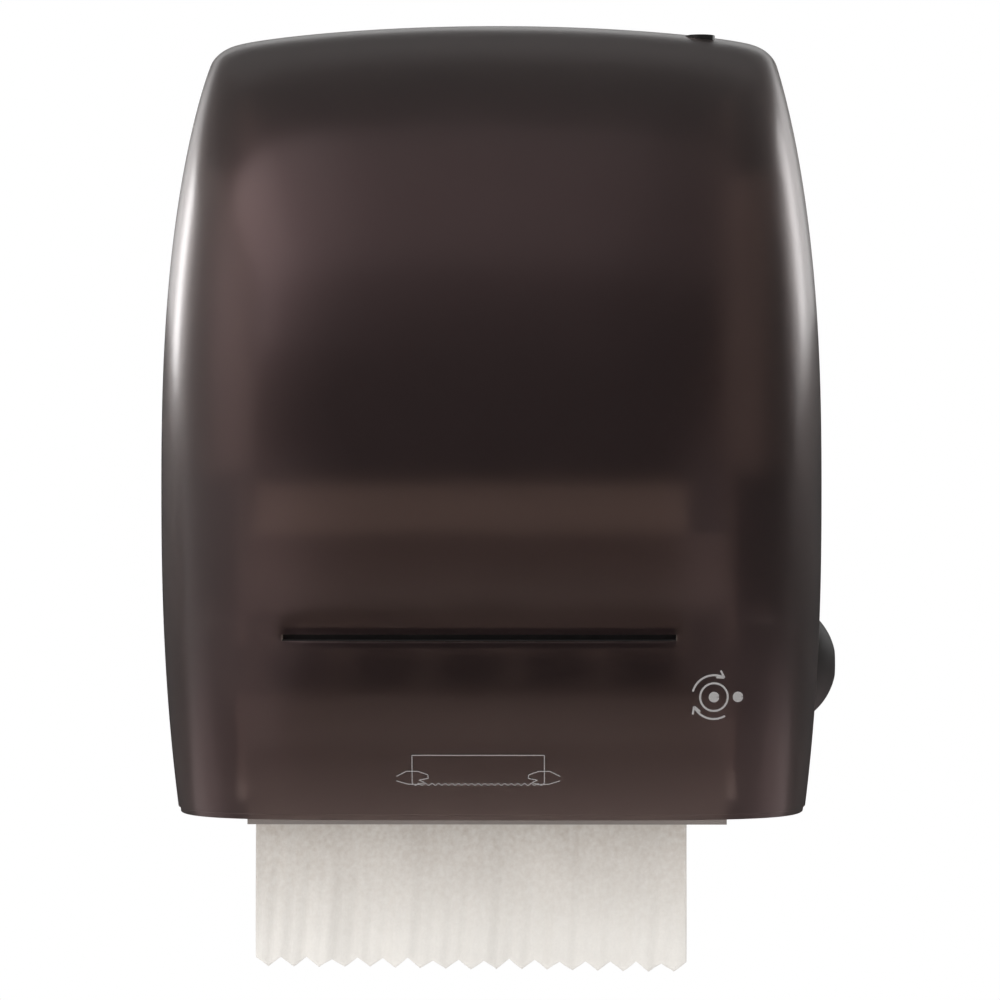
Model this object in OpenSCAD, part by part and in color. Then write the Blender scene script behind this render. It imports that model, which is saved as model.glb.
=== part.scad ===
// Hands-free towel dispenser for wall mounting: pulling the paper turns a drum whose knife cuts each towel.
// +X points right, -Y to the front and +Z up.
// The origin lies on the rear face, midway between the wall screws.
// Depths are measured forwards from the wall, so a point at depth d has y = -d.

/* [Body] */
// Widest width of the cover
body_w = 308; // [280:1:340]
// Height of the body
body_h = 372; // [365:1:395]
// Depth from the wall to the deepest point of the cover
body_d = 235; // [230:1:255]
// Depth of the rear tray, where the cover starts
tray_d = 36; // [34:1:40]
// Wall of the cover
cover_wall = 2.5; // [2:0.25:3]
// Rear wall of the tray
back_wall = 3; // [2.5:0.5:4]
// Radius of the top corners, seen from the front
corner_r = 13; // [10:1:18]
// How much each side draws in towards the top
top_taper = 21.5; // [18:0.5:26]
// How much each side draws in towards the bottom
bottom_taper = 7.4; // [5:0.2:9]
// How far the top edge drops from its middle to its ends
crown = 12; // [8:1:14]
// How far the front draws back towards the bottom
chin_setback = 21; // [14:1:26]
// Height of the widest level above the lower edge
waist_level = 150; // [130:1:170]
// Height of the deepest level above the lower edge
belly_level = 142; // [125:1:160]
// Gap between tray and cover
part_gap = 0.6; // [0.4:0.1:1]
// How far the tray's lip reaches into the cover
lip_d = 8; // [5:1:10]
// Clearance between the lip and the cover
lip_gap = 1; // [0.8:0.1:1.5]
// Thickness of the lip
lip_wall = 1.5; // [1:0.25:2.5]

/* [Slit] */
// How much shorter the slit is than the towel is wide
slit_short = 22; // [10:1:50]
// Height of the slit
slit_h = 2.8; // [2:0.2:4]
// Level of the slit above the lower edge
slit_level = 82; // [70:1:95]
// Offset of the slit's middle
slit_x = -4; // [-8:1:4]

/* [Wall screws] */
// Distance between the screw holes across
hole_span_x = 170; // [150:1:180]
// Distance between the screw holes up and down
hole_span_z = 180; // [160:1:200]
// Radius of a screw hole
hole_r = 2.8; // [2.5:0.1:3.5]

/* [Hinge and lock] */
// Radius of a hinge pin
hinge_pin_r = 3; // [2.5:0.25:4]
// Radius of the hinge bosses and ears
hinge_boss_r = 8; // [7:0.5:9]
// Thickness of a hinge ear
ear_w = 5; // [4:0.5:7]
// Length of a hinge boss in the cover
boss_len = 10; // [8:0.5:13]
// Radius of the lock barrel
lock_r = 7; // [6:0.5:8]
// Place of the lock to the left of the right side plate
lock_in = 10; // [8:1:14]
// Depth of the lock
lock_d = 90; // [80:1:96]
// Reach of the latch cam from the lock's axis
cam_reach = 22; // [21:0.5:24]

/* [Paper] */
// Room from the cover's widest left point to the towel
left_room = 46; // [45:1:54]
// Room from the towel to the cover's widest right point
right_room = 64; // [63:1:72]
// Thickness of the towel sheet
paper = 0.6; // [0.4:0.1:0.8]
// Free gap at each side of the sheet
paper_gap = 0.3; // [0.3:0.05:0.5]
// How far the tail hangs below the cover
tail_len = 73; // [50:1:100]
// Teeth along the cut end
teeth = 17; // [12:1:20]
// Height of a tooth of the cut end
tooth_h = 5; // [3:0.5:7]
// Depth of the tail's soft folds
fold_d = 1.6; // [0.8:0.1:2]
// Radius of the stub roll
stub_r = 29; // [26:0.5:31]
// Outer radius of the roll's core
core_r = 20; // [18:0.5:21]
// Wall of the core
core_wall = 1.5; // [1:0.25:2.5]

/* [Side plates] */
// Thickness of a side plate
plate = 3; // [2.5:0.5:4]
// Free gap at the left of the paper
left_gap = 3; // [2:0.5:5]
// Room at the right of the paper for the roll arm
arm_room = 18; // [18:0.5:21]
// Height of the plates' tops over the roll hubs
plate_over = 88; // [75:1:90]
// Depth of the plates' upper front edge
plate_high_d = 150; // [135:1:154]
// Depth of the plates' lower front edge
plate_low_d = 190; // [188:1:193]
// Width of the turned-out front edge of each side plate
brim_w = 18; // [12:1:20]
// Radius of a fixing screw's shank
screw_r = 2; // [1.5:0.25:2.5]

/* [Roll hubs] */
// Drop of the roll hubs below the top
hub_drop = 130; // [126:0.5:136]
// Depth of the roll hubs
hub_d = 112; // [106:1:116]
// Radius of a hub's boss
hub_r = 18; // [16:0.5:19]
// Radius of a hub's flange
hub_flange_r = 24; // [22:0.5:27]
// Length of a hub's boss
hub_len = 7.5; // [6:0.5:8]
// Radius of a hub's pin
hub_pin_r = 4; // [3:0.25:5]
// Depth of the right arm's pivot
arm_pivot_d = 17; // [15:1:19]
// Radius of the right arm's pivot pin
arm_pin_r = 3; // [2.5:0.25:3.5]

/* [Drum] */
// Radius of the feed drum
drum_r = 48.5; // [46:0.25:50]
// Wall of the drum shell
drum_wall = 3; // [2.5:0.25:3.5]
// Room behind the drum
drum_room = 53.5; // [49.5:1:56.5]
// Radius of the drum shaft
shaft_r = 5; // [4:0.5:6]
// Thickness of a drum cap
cap_w = 4; // [3:0.5:5]
// Number of rubber grip bands
bands = 6; // [4:1:8]
// Width of a grip band
band_w = 12; // [8:1:16]
// Radius of the pinch rollers
pinch_r = 8; // [7:0.5:9]
// Number of pinch rollers
pinch_count = 5; // [3:1:6]
// Length of a pinch roller
pinch_len = 28; // [20:1:32]
// Radius of the pinch shaft
pinch_shaft_r = 3; // [2.5:0.25:3.5]

/* [Knife] */
// Length of the knife from its pivot to its edge
knife_len = 29.5; // [28:0.5:30]
// Angle of the folded knife to the drum's radius
knife_fold = 60; // [56:1:64]
// Thickness of the blade
blade_t = 1.2; // [0.8:0.1:1.6]
// Radius of the knife rod
rod_r = 3; // [2.5:0.25:3.5]
// Length of the knife crank
crank_len = 14; // [12:0.5:15]

/* [Knob and drive] */
// Radius of the feed knob
knob_r = 23; // [20:0.5:25]
// How far the knob stands out of the cover
knob_proud = 8.4; // [6:0.2:12]
// Radius of the knob's flat end
knob_flat_r = 6.8; // [5:0.2:9]
// Gap round the knob in the cover's notch
notch_gap = 6; // [4:0.5:7]
// Radius of the one-way clutch
clutch_r = 11; // [9.5:0.5:13]
// Radius of the return crank
return_crank = 14; // [12:0.5:16]
// Wire radius of the return spring
spring_wire_r = 0.6; // [0.5:0.05:0.7]
// Turns of the return spring
spring_turns = 20; // [14:1:22]

/* [Hidden] */
$fn = 64;

// Radial clearances: a running fit, and a seat within one body
run_gap = 0.06;
seat_gap = 0.02;
// Clearance between pieces that pass each other
side_gap = 0.6;

// Body levels
body_top = body_h / 2;
body_bottom = -body_h / 2;
waist_z = body_bottom + waist_level;
belly_z = body_bottom + belly_level;
tray_wall = cover_wall + lip_gap + lip_wall;

// Shape powers of the sides, the brow and the plan
side_power = 2.4;
brow_power = 2.5;
plan_power = 5;

// Facets of the cover
low_rings = 7;
high_rings = 14;
ring_cols = 36;

// How far up or down from the waist a level lies, from 0 to 1
function lift(z) = max(0, (z - waist_z) / (body_top - waist_z));
function sink(z) = max(0, (waist_z - z) / (waist_z - body_bottom));
function side_taper(z) = top_taper * pow(lift(z), side_power) + bottom_taper * pow(sink(z), side_power);

// Rounding of the top corners, for a skin that lies i inside the outer one
function corner_cut(z, i) =
    let (r = corner_r - i, h = z - (body_top - corner_r)) h <= 0 ? 0 : r - sqrt(max(0, r * r - h * h));
function half_w(z, i = 0) = body_w / 2 - i - side_taper(z) - corner_cut(z, i);
function crown_drop(x, z) = crown * pow(2 * x / body_w, 2) * pow(lift(z), 2);

// Reach of the skin in front of the tray
function brow(h) = pow(max(0, 1 - pow(h, brow_power)), 1 / brow_power);
function reach_at(z, i = 0) = z > belly_z
    ? (body_d - tray_d - i) * brow((z - belly_z) / (body_top - i - belly_z))
    : body_d - tray_d - i - chin_setback * pow((belly_z - z) / (belly_z - body_bottom), 2);
function ray(q, p) = 1 / pow(pow(abs(cos(q)), p) + pow(abs(sin(q)), p), 1 / p);
function front_at(x, z) = abs(x) >= half_w(z)
    ? 0
    : reach_at(z) * pow(1 - pow(abs(x) / half_w(z), plan_power), 1 / plan_power);

// Height of the cover's top over a point, found by halving
function top_at(x, d, lo = belly_z, hi = body_top, steps = 24) = let (mid = (lo + hi) / 2)
    steps == 0 ? mid - crown_drop(x, mid)
    : front_at(x, mid) > d - tray_d ? top_at(x, d, mid, hi, steps - 1)
    : top_at(x, d, lo, mid, steps - 1);

// Hinge, at the lower rear of the cover
hinge_gap = 18;
hinge_d = tray_d + hinge_gap;
hinge_lift = 13;
hinge_z = body_bottom + hinge_lift;
boss_x1 = half_w(hinge_z, cover_wall);
boss_x0 = boss_x1 - boss_len;
ear_x1 = boss_x0 - side_gap;
ear_x0 = ear_x1 - ear_w;
pin_head = 2.5;

// Paper edges and side plates
towel_x0 = left_room - body_w / 2;
towel_x1 = body_w / 2 - right_room;
towel_w = towel_x1 - towel_x0;
slit_w = towel_w - slit_short;
left_in = towel_x0 - left_gap;
left_out = left_in - plate;
right_in = towel_x1 + arm_room;
right_out = right_in + plate;
hub_z = body_top - hub_drop;
plate_top = hub_z + plate_over;

// Floor of the inside, and the bottom pan that makes it
pan_t = 2.5;
floor_z = body_bottom + tray_wall + pan_t;

// Knife, in the drum's own frame: outwards along the radius, then sideways
knife_inset = 20.5;
knife_offset = -8;
knife_pivot = [drum_r - knife_inset, knife_offset];
knife_angle = -110;
crank_angle = -100;
carrier_t = 5;
carrier_len = 17;
carrier_hub_r = 5.5;
knife_room = 1.5;
knife_reach = norm(knife_pivot) + knife_len + knife_room;

// Drum and what turns against it
drum_d = back_wall + drum_room + drum_r;
drum_z = floor_z + knife_reach;
drum_short = 1;
drum_over = 8;
drum_x0 = towel_x0 + drum_short;
drum_x1 = towel_x1 + drum_over;
shell_x0 = drum_x0 + cap_w;
shell_x1 = drum_x1 - cap_w;
sheet_r = drum_r + paper_gap + paper / 2;
pinch_d = drum_d + drum_r + 2 * paper_gap + paper + pinch_r;
lever_off = [16, 25];
lever_t = 3.5;
lever_pivot = [pinch_d + lever_off[0], drum_z + lever_off[1]];
slot_room = 8;
slot_r = pinch_shaft_r + slot_room;
pivot_len = 17;
pinch_shaft_over = 6;

// Stub roll, resting in front of and above the drum
stub_angle = 43.5;
stub_dist = drum_r + stub_r + 4 * paper_gap + 2 * paper;
stub_d = drum_d + stub_dist * cos(stub_angle);
stub_z = drum_z + stub_dist * sin(stub_angle);
cradle_t = 2;

// Sheet tangent from the stub roll to the drum
stub_sheet_r = stub_r + paper_gap + paper / 2;
sheet_angle = stub_angle - acos((stub_sheet_r + sheet_r) / stub_dist);
sheet_d = drum_d + sheet_r;
tail_z = body_bottom - tail_len;

// Right end of the drum: crank, roller and cam side by side
crank_x0 = drum_x1 + side_gap;
crank_t = 3;
knife_cam_t = 3;
roller_gap = 0.3;
cam_gap = 0.5;
crank_x1 = crank_x0 + crank_t;
cam_x0 = right_in - knife_cam_t;
roller_x0 = crank_x1 + roller_gap;
roller_x1 = cam_x0 - cam_gap;
cam_roller_r = 5;
roller_pin_r = 2;
roller_at = knife_pivot + crank_len * [cos(crank_angle), sin(crank_angle)];
cam_rim = 7;
cam_in_r = norm(roller_at) + cam_roller_r + cam_gap;
cam_out_r = cam_in_r + cam_rim;

// Drive housing and knob at the right
side_x = half_w(drum_z);
housing_gap = 4.3;
housing_x1 = side_x - cover_wall - housing_gap;
housing_wall = 2.5;
housing_reach = 36;
housing_rise = 56;
housing_d0 = tray_d + lip_d + 2;
housing_d1 = drum_d + housing_reach;
housing_z0 = drum_z - housing_reach;
housing_z1 = drum_z + housing_rise;
housing_r = 12;
ear_off = 5;
upper_ears = [-35, 13];
lower_ear = -10;
housing_ears = concat([for (d = upper_ears) [drum_d + d, housing_z1 + ear_off]],
    [[drum_d + lower_ear, housing_z0 - ear_off]]);
clutch_len = 12;
knob_x0 = housing_x1 + side_gap;
knob_x1 = side_x + knob_proud;
knob_rim = 4.6;
shaft_over = 12;
shaft_under = 5;
bush_wall = 3;
shaft_x0 = left_out - shaft_over;
shaft_x1 = knob_x1 - shaft_under;
bush_r = shaft_r + bush_wall;
flange_r = bush_r + bush_wall;
flange_t = 1.5;

// Return crank and spring at the left
disc_gap = 3;
disc_t = 5;
spring_gap = 8;
pin_over = 7;
disc_x1 = left_out - disc_gap;
disc_x0 = disc_x1 - disc_t;
spring_x = disc_x0 - spring_gap;
pin_x0 = spring_x - pin_over;
spring_pin_r = 3;
post_off = [-43, 97];
post_at = [drum_d, drum_z] + post_off;
crank_at = [drum_d, drum_z] + return_crank * post_off / norm(post_off);

// Right roll arm
arm_gap = 10.5;
arm_t = 3.5;
arm_below = 12;
arm_above = 8;
arm_nose = 9;
arm_x1 = right_in - arm_gap;
arm_x0 = arm_x1 - arm_t;
arm_pivot_x = arm_x1 - 0.5;
arm_boss_r = arm_pin_r + arm_t;
arm_z0 = hub_z - arm_below;
arm_z1 = hub_z + arm_above;
lug_t = 5.5;
arm_spring_room = 12;
hub_flange_t = 2.4;

// Lock and latch
lock_x = right_in - lock_in;
lock_top = top_at(lock_x, lock_d);
barrel_len = 20;
cam_t = 3;
cam_w = 10;
latch_z1 = lock_top - cover_wall - barrel_len + 2.5;
latch_z0 = latch_z1 - cam_t;
striker_x0 = right_out + 1.5;
striker_x1 = striker_x0 + 10;
striker_d1 = lock_d + cam_w / 2 + 5;
striker_t = 3;
striker_z1 = latch_z0 - 3;

// Fixing tabs and screws
tab_w = 14;
tab_h = 16;
tab_t = 3;
head_r = 2 * screw_r;
head_t = 2.4;
tab_inset = 20;
tab_levels = [floor_z + tab_inset, hub_z - 3 * tab_inset, plate_top - tab_inset];
left_tab_x = left_out - tab_w / 2;
right_tab_x = right_out + tab_w / 2;

// Drawing helpers
module slab(x0, x1, d0, d1, z0, z1) {
    translate([x0, -d1, z0]) cube([x1 - x0, d1 - d0, z1 - z0]);
}
module along_x(x0, x1) {
    translate([x1, 0, 0]) rotate([90, 0, -90]) linear_extrude(x1 - x0) children();
}
module forwards(d0, d1) {
    translate([0, -d0, 0]) rotate([90, 0, 0]) linear_extrude(d1 - d0) children();
}
module rod_x(x0, x1, r, at) {
    translate([x0, -at[0], at[1]]) rotate([0, 90, 0]) cylinder(h = x1 - x0, r = r);
}
module rod_d(d0, d1, r, x, z) {
    translate([x, -d0, z]) rotate([90, 0, 0]) cylinder(h = d1 - d0, r = r);
}
module rod_z(z0, z1, r, x, d) {
    translate([x, -d, z0]) cylinder(h = z1 - z0, r = r);
}
module tube_x(x0, x1, r, bore, at) {
    difference() {
        rod_x(x0, x1, r, at);
        rod_x(x0 - 1, x1 + 1, bore, at);
    }
}
// Rectangle whose two front corners are rounded
module front_round(d0, d1, z0, z1, r) {
    translate([d0, z0]) square([d1 - r - d0, z1 - z0]);
    translate([d0, z0 + r]) square([d1 - d0, z1 - z0 - 2 * r]);
    for (z = [z0 + r, z1 - r]) translate([d1 - r, z]) circle(r);
}
module all_round(d0, d1, z0, z1, r) {
    translate([d0 + r, z0]) square([d1 - d0 - 2 * r, z1 - z0]);
    translate([d0, z0 + r]) square([d1 - d0, z1 - z0 - 2 * r]);
    for (d = [d0 + r, d1 - r], z = [z0 + r, z1 - r]) translate([d, z]) circle(r);
}
// Flat link between two eyes
module link(a, b, ra, rb, w) {
    translate(a) circle(ra);
    translate(b) circle(rb);
    translate(a) rotate(atan2(b[1] - a[1], b[0] - a[0])) translate([0, -w / 2]) square([norm(b - a), w]);
}
module knife_frame() {
    translate([drum_d, drum_z]) rotate(knife_angle) children();
}

// Faces of a closed sheet: a grid of points for its outer skin, then the same grid for its inner skin
function sheet_faces(rows, cols) = let (w = cols + 1, o = (rows + 1) * w) concat(
    [for (r = [0:rows - 1], c = [0:cols - 1], a = [r * w + c]) each
        [[a, a + 1, a + w + 1], [a, a + w + 1, a + w],
         [a + o, a + o + w + 1, a + o + 1], [a + o, a + o + w, a + o + w + 1]]],
    [for (c = [0:cols - 1], b = [rows * w + c]) each
        [[c + 1, c, c + o], [c + 1, c + o, c + 1 + o], [b, b + 1, b + 1 + o], [b, b + 1 + o, b + o]]],
    [for (r = [0:rows - 1], a = [r * w], b = [r * w + cols]) each
        [[a, a + w, a + w + o], [a, a + w + o, a + o], [b + w, b, b + o], [b + w, b + o, b + w + o]]]
);

// Round wire swept along a path
wire_sides = 6;
function unit(v) = v / norm(v);
function tangent(p, i) = unit(p[min(i + 1, len(p) - 1)] - p[max(i - 1, 0)]);
function square_to(n, t) = unit(n - t * (n * t));
function start_normal(t) = square_to(abs(t[0]) < 0.9 ? [1, 0, 0] : [0, 0, 1], t);
function normals(p) =
    [for (i = 0, n = start_normal(tangent(p, 0)); i < len(p); i = i + 1,
        n = i < len(p) ? square_to(n, tangent(p, i)) : n) n];
module wire(p, r) {
    n = normals(p);
    s = wire_sides;
    last = (len(p) - 1) * s;
    points = [for (i = [0:len(p) - 1], k = [0:s - 1], b = [cross(tangent(p, i), n[i])])
        p[i] + r * (cos(360 * k / s) * n[i] + sin(360 * k / s) * b)];
    sides = [for (i = [0:len(p) - 2], k = [0:s - 1], a = [i * s + k], b = [i * s + (k + 1) % s]) each
        [[a, a + s, b + s], [a, b + s, b]]];
    ends = [for (k = [1:s - 2]) each [[0, k, k + 1], [last, last + k + 1, last + k]]];
    polyhedron(points, concat(sides, ends));
}
// Coil about a local axis with a straight leg at each end, 8 points a turn
curl = 8;
function coil(turns, r, pitch, leg) = concat([[r, -leg, 0]],
    [for (k = [0:curl * turns]) [r * cos(360 * k / curl), r * sin(360 * k / curl), pitch * k / curl]],
    [[r, leg, pitch * turns]]);
// Least gap between points of a wire that lie half a turn or more apart
function least_gap(p, r) = min([for (i = [0:len(p) - 1 - curl], k = [i + curl / 2:len(p) - 1])
    norm(p[i] - p[k])]) - 2 * r;

// Front outline of body and tray, i inside the outer skin
side_steps = 14;
corner_steps = 6;
top_steps = 7;
function outline_half(i) = let (z0 = body_bottom + i, z1 = body_top - corner_r, r = corner_r - i) concat(
    [for (k = [0:side_steps], z = [z0 + (z1 - z0) * k / side_steps]) [half_w(z, i), z]],
    [for (k = [1:corner_steps], z = [z1 + r * sin(90 * k / corner_steps)]) [half_w(z, i), z]],
    [for (k = [1:top_steps]) [half_w(body_top - i, i) * (1 - k / top_steps), body_top - i]]);
function dropped(p) = [p[0], p[1] - crown_drop(p[0], p[1])];
module outline(i) {
    half = [for (p = outline_half(i)) dropped(p)];
    n = len(half);
    polygon(concat(half, [for (k = [n - 2:-1:0]) [-half[k][0], half[k][1]]]));
}

// Rear tray that screws to the wall, with the ears of the cover hinge and the lugs of the roll arm
module back_tray() color("#1d1c1e") difference() {
    union() {
        forwards(0, back_wall) outline(0);
        forwards(0, tray_d - part_gap) difference() {
            outline(0);
            outline(tray_wall);
        }
        difference() {
            forwards(back_wall, tray_d + lip_d) difference() {
                outline(cover_wall + lip_gap);
                outline(tray_wall);
            }
            slab(-body_w, body_w, tray_d - part_gap, body_d, body_bottom - 1, hinge_z + 45);
        }
        for (side = [-1, 1], x = side > 0 ? [ear_x0] : [-ear_x1]) along_x(x, x + ear_w) {
            translate([back_wall - 1, hinge_z - hinge_boss_r])
                square([hinge_d - back_wall + 1, 2 * hinge_boss_r]);
            translate([hinge_d, hinge_z]) circle(hinge_boss_r);
        }
        for (z = [arm_z0 - side_gap - lug_t, arm_z1 + arm_spring_room]) {
            slab(arm_pivot_x - arm_boss_r, arm_pivot_x + arm_boss_r, back_wall - 1, arm_pivot_d,
                z, z + lug_t);
            rod_z(z, z + lug_t, arm_boss_r, arm_pivot_x, arm_pivot_d);
        }
    }
    for (x = [-1, 1] * hole_span_x / 2, z = [-1, 1] * hole_span_z / 2)
        rod_d(-1, back_wall + 1, hole_r, x, z);
    for (x = [left_tab_x, right_tab_x], z = tab_levels) rod_d(-1, back_wall + 1, screw_r + seat_gap, x, z);
    for (z = striker_levels) rod_d(-1, back_wall + 1, screw_r + seat_gap, striker_mid, z);
    rod_x(-body_w, body_w, hinge_pin_r + seat_gap, [hinge_d, hinge_z]);
    rod_z(arm_z0 - 50, arm_z1 + 50, arm_pin_r + seat_gap, arm_pivot_x, arm_pivot_d);
}

// Side plates: flat mouldings on the tray's rear wall that carry the roll, the drum and the pinch rollers
high_round = 24;
low_round = 20;
step_z = stub_z + stub_r + plate;
brim_t = 2.5;
brim_z0 = step_z + brim_t;
brim_z1 = plate_top - 1.5 * high_round;
module plate_outline() {
    front_round(back_wall, plate_high_d, floor_z, plate_top, high_round);
    front_round(back_wall, plate_low_d, floor_z, step_z, low_round);
}
module side_plate(x0, tab_x0, brim_x0, bush_hole_r) difference() {
    union() {
        along_x(x0, x0 + plate) plate_outline();
        slab(brim_x0, brim_x0 + plate + brim_w, plate_high_d - brim_t, plate_high_d, brim_z0, brim_z1);
        for (z = tab_levels)
            slab(tab_x0, tab_x0 + tab_w, back_wall, back_wall + tab_t, z - tab_h / 2, z + tab_h / 2);
    }
    rod_x(x0 - 1, x0 + plate + 1, bush_hole_r, [drum_d, drum_z]);
    along_x(x0 - 1, x0 + plate + 1) {
        translate([pinch_d, drum_z]) circle(slot_r);
        translate([pinch_d, drum_z - slot_r]) square([plate_low_d, 2 * slot_r]);
    }
    rod_x(x0 - 1, x0 + plate + 1, pinch_shaft_r + seat_gap, lever_pivot);
    for (z = tab_levels)
        rod_d(back_wall - 1, back_wall + tab_t + 1, screw_r + seat_gap, tab_x0 + tab_w / 2, z);
}
module left_side_plate() color("#55504f") difference() {
    side_plate(left_out, left_out - tab_w, left_out - brim_w, bush_r + seat_gap);
    rod_x(left_out - 1, left_in + 1, hub_pin_r + seat_gap, [hub_d, hub_z]);
    rod_x(left_out - 1, left_in + 1, spring_pin_r + seat_gap, post_at);
}
module right_side_plate() color("#55504f") difference() {
    side_plate(right_in, right_out, right_in, bush_r + seat_gap);
    for (at = housing_ears) rod_x(right_in - 1, right_out + 1, screw_r + seat_gap, at);
}
// Pan-head screw whose head sits at depth d and whose shank runs back towards the wall
module wall_side_screw(x, z, d) {
    rod_d(d, d + head_t, head_r, x, z);
    rod_d(back_wall * 0.2, d, screw_r, x, z);
}
module side_plate_screws() color("silver") {
    for (x = [left_tab_x, right_tab_x], z = tab_levels) wall_side_screw(x, z, back_wall + tab_t);
}

// Smoky cover: a shell with rounded plan and brow, open at the rear and below
function cover_levels(i) = concat(
    [for (k = [0:low_rings - 1]) body_bottom + (belly_z - body_bottom) * k / low_rings],
    [for (k = [0:high_rings], q = [90 * k / high_rings])
        belly_z + (body_top - i - belly_z) * ray(q, brow_power) * sin(q)]);
function cover_point(z, a, i) = let (k = ray(a, plan_power), x = half_w(z, i) * k * cos(a))
    [x, -tray_d - reach_at(z, i) * k * sin(a), z - crown_drop(x, z)];
function top_edge_point(c, i) = let (z = body_top - i, x = half_w(z, i) * (1 - 2 * c / ring_cols))
    [x, -tray_d, z - crown_drop(x, z)];
function cover_skin(i) = let (levels = cover_levels(i), last = len(levels) - 1) concat(
    [for (k = [0:last - 1], c = [0:ring_cols]) cover_point(levels[k], 180 * c / ring_cols, i)],
    [for (c = [0:ring_cols]) top_edge_point(c, i)]);
module cover_shell() {
    polyhedron(concat(cover_skin(0), cover_skin(cover_wall)), sheet_faces(low_rings + high_rings, ring_cols));
}
// Notch through which the knob passes when the cover swings about its hinge
module knob_notch() {
    knob = [drum_d - hinge_d, drum_z - hinge_z];
    r = norm(knob);
    w = knob_r + notch_gap;
    a = atan2(knob[1], knob[0]);
    far = 2 * (r + w);
    along_x(boss_x0, body_w) translate([hinge_d, hinge_z]) {
        translate(knob) circle(w);
        intersection() {
            difference() {
                circle(r + w);
                circle(r - w);
            }
            polygon([[0, 0], far * [cos(a), sin(a)], far * [cos(90), sin(90)], far * [cos(130), sin(130)]]);
        }
    }
}
// Rounding of the cover's lower rear corners about the hinge
module heel_cut() {
    along_x(-body_w, body_w) difference() {
        translate([tray_d - 1, body_bottom - 1]) square([hinge_gap + 1, hinge_z - body_bottom + 1]);
        translate([hinge_d, hinge_z]) circle(hinge_gap - part_gap);
    }
}
slit_z = body_bottom + slit_level;
module front_cover() color("#3a3233", 0.75) difference() {
    union() {
        cover_shell();
        for (x = [boss_x0, -boss_x1 - cover_wall / 2])
            rod_x(x, x + boss_len + cover_wall / 2, hinge_boss_r, [hinge_d, hinge_z]);
    }
    for (x = [boss_x0 - 1, -boss_x1]) rod_x(x, x + boss_len + 1, hinge_pin_r + run_gap, [hinge_d, hinge_z]);
    slab(slit_x - slit_w / 2, slit_x + slit_w / 2, tray_d + 100, body_d + 1,
        slit_z - slit_h / 2, slit_z + slit_h / 2);
    rod_z(latch_z1, body_top + 1, lock_r + run_gap, lock_x, lock_d);
    knob_notch();
    heel_cut();
}
// Headed pins, pressed into the tray's ears
module hinge_pins() color("silver") {
    for (side = [0, 1]) mirror([side, 0, 0]) {
        rod_x(ear_x0, boss_x1 - 0.5, hinge_pin_r, [hinge_d, hinge_z]);
        rod_x(ear_x0 - pin_head, ear_x0, hinge_pin_r + 2, [hinge_d, hinge_z]);
    }
}

// Lock barrel in the top of the cover, shown unlocked: its cam points to the rear
key_slot = [1.6, 9, 3];
barrel_proud = 0.8;
module lock_barrel() color("#2a2829") difference() {
    rod_z(latch_z1, lock_top + barrel_proud, lock_r, lock_x, lock_d);
    translate([lock_x - key_slot[0] / 2, -lock_d - key_slot[1] / 2, lock_top + barrel_proud - key_slot[2]])
        cube([key_slot[0], key_slot[1], key_slot[2] + 1]);
    rod_z(latch_z1 - 1, latch_z1 + 8, screw_r + seat_gap, lock_x, lock_d);
}
module latch_cam() color("silver") difference() {
    union() {
        rod_z(latch_z0, latch_z1, lock_r, lock_x, lock_d);
        slab(lock_x - cam_w / 2, lock_x + cam_w / 2, lock_d - cam_reach, lock_d, latch_z0, latch_z1);
    }
    rod_z(latch_z0 - 1, latch_z1 + 1, screw_r + seat_gap, lock_x, lock_d);
}
module latch_screw() color("silver") {
    rod_z(latch_z0 - head_t, latch_z0, head_r, lock_x, lock_d);
    rod_z(latch_z0, latch_z1 + 7, screw_r, lock_x, lock_d);
}
// Striker bracket: the turned cam stands behind its lip
striker_mid = (striker_x0 + striker_x1) / 2;
striker_foot = 15;
striker_levels = [striker_z1 - 8];
module latch_striker() color("silver") difference() {
    union() {
        slab(striker_x0, striker_x1, back_wall, striker_d1, striker_z1 - striker_t, striker_z1);
        slab(striker_x0, striker_x1, striker_d1 - striker_t, striker_d1,
            striker_z1 - striker_t, latch_z1 + 2);
        slab(striker_x0, striker_x1, back_wall, back_wall + tab_t, striker_z1 - striker_foot, striker_z1);
    }
    for (z = striker_levels) rod_d(back_wall - 1, back_wall + tab_t + 1, screw_r + seat_gap, striker_mid, z);
}
module striker_screws() color("silver") {
    for (z = striker_levels) wall_side_screw(striker_mid, z, back_wall + tab_t);
}

// Roll hubs: the left one turns on a pin in its plate, the right one on a sprung arm
hub_at = [hub_d, hub_z];
left_hub_x1 = left_in + side_gap + hub_flange_t + hub_len;
module left_hub_pin() color("silver") {
    rod_x(left_out, left_hub_x1 + side_gap, hub_pin_r, hub_at);
    rod_x(left_hub_x1 + side_gap, left_hub_x1 + side_gap + 1.5, hub_pin_r + 2, hub_at);
}
module roll_hub() difference() {
    union() {
        cylinder(h = hub_flange_t, r = hub_flange_r);
        cylinder(h = hub_flange_t + hub_len, r1 = hub_r, r2 = hub_r - 1.5);
    }
    translate([0, 0, -1]) cylinder(h = hub_flange_t + hub_len + 2, r = hub_pin_r + run_gap);
}
module left_roll_hub() color("#3b3838") {
    translate([left_in + side_gap, -hub_d, hub_z]) rotate([0, 90, 0]) roll_hub();
}
module right_roll_hub() color("#3b3838") {
    translate([arm_x0 - side_gap, -hub_d, hub_z]) rotate([0, -90, 0]) roll_hub();
}
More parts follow.
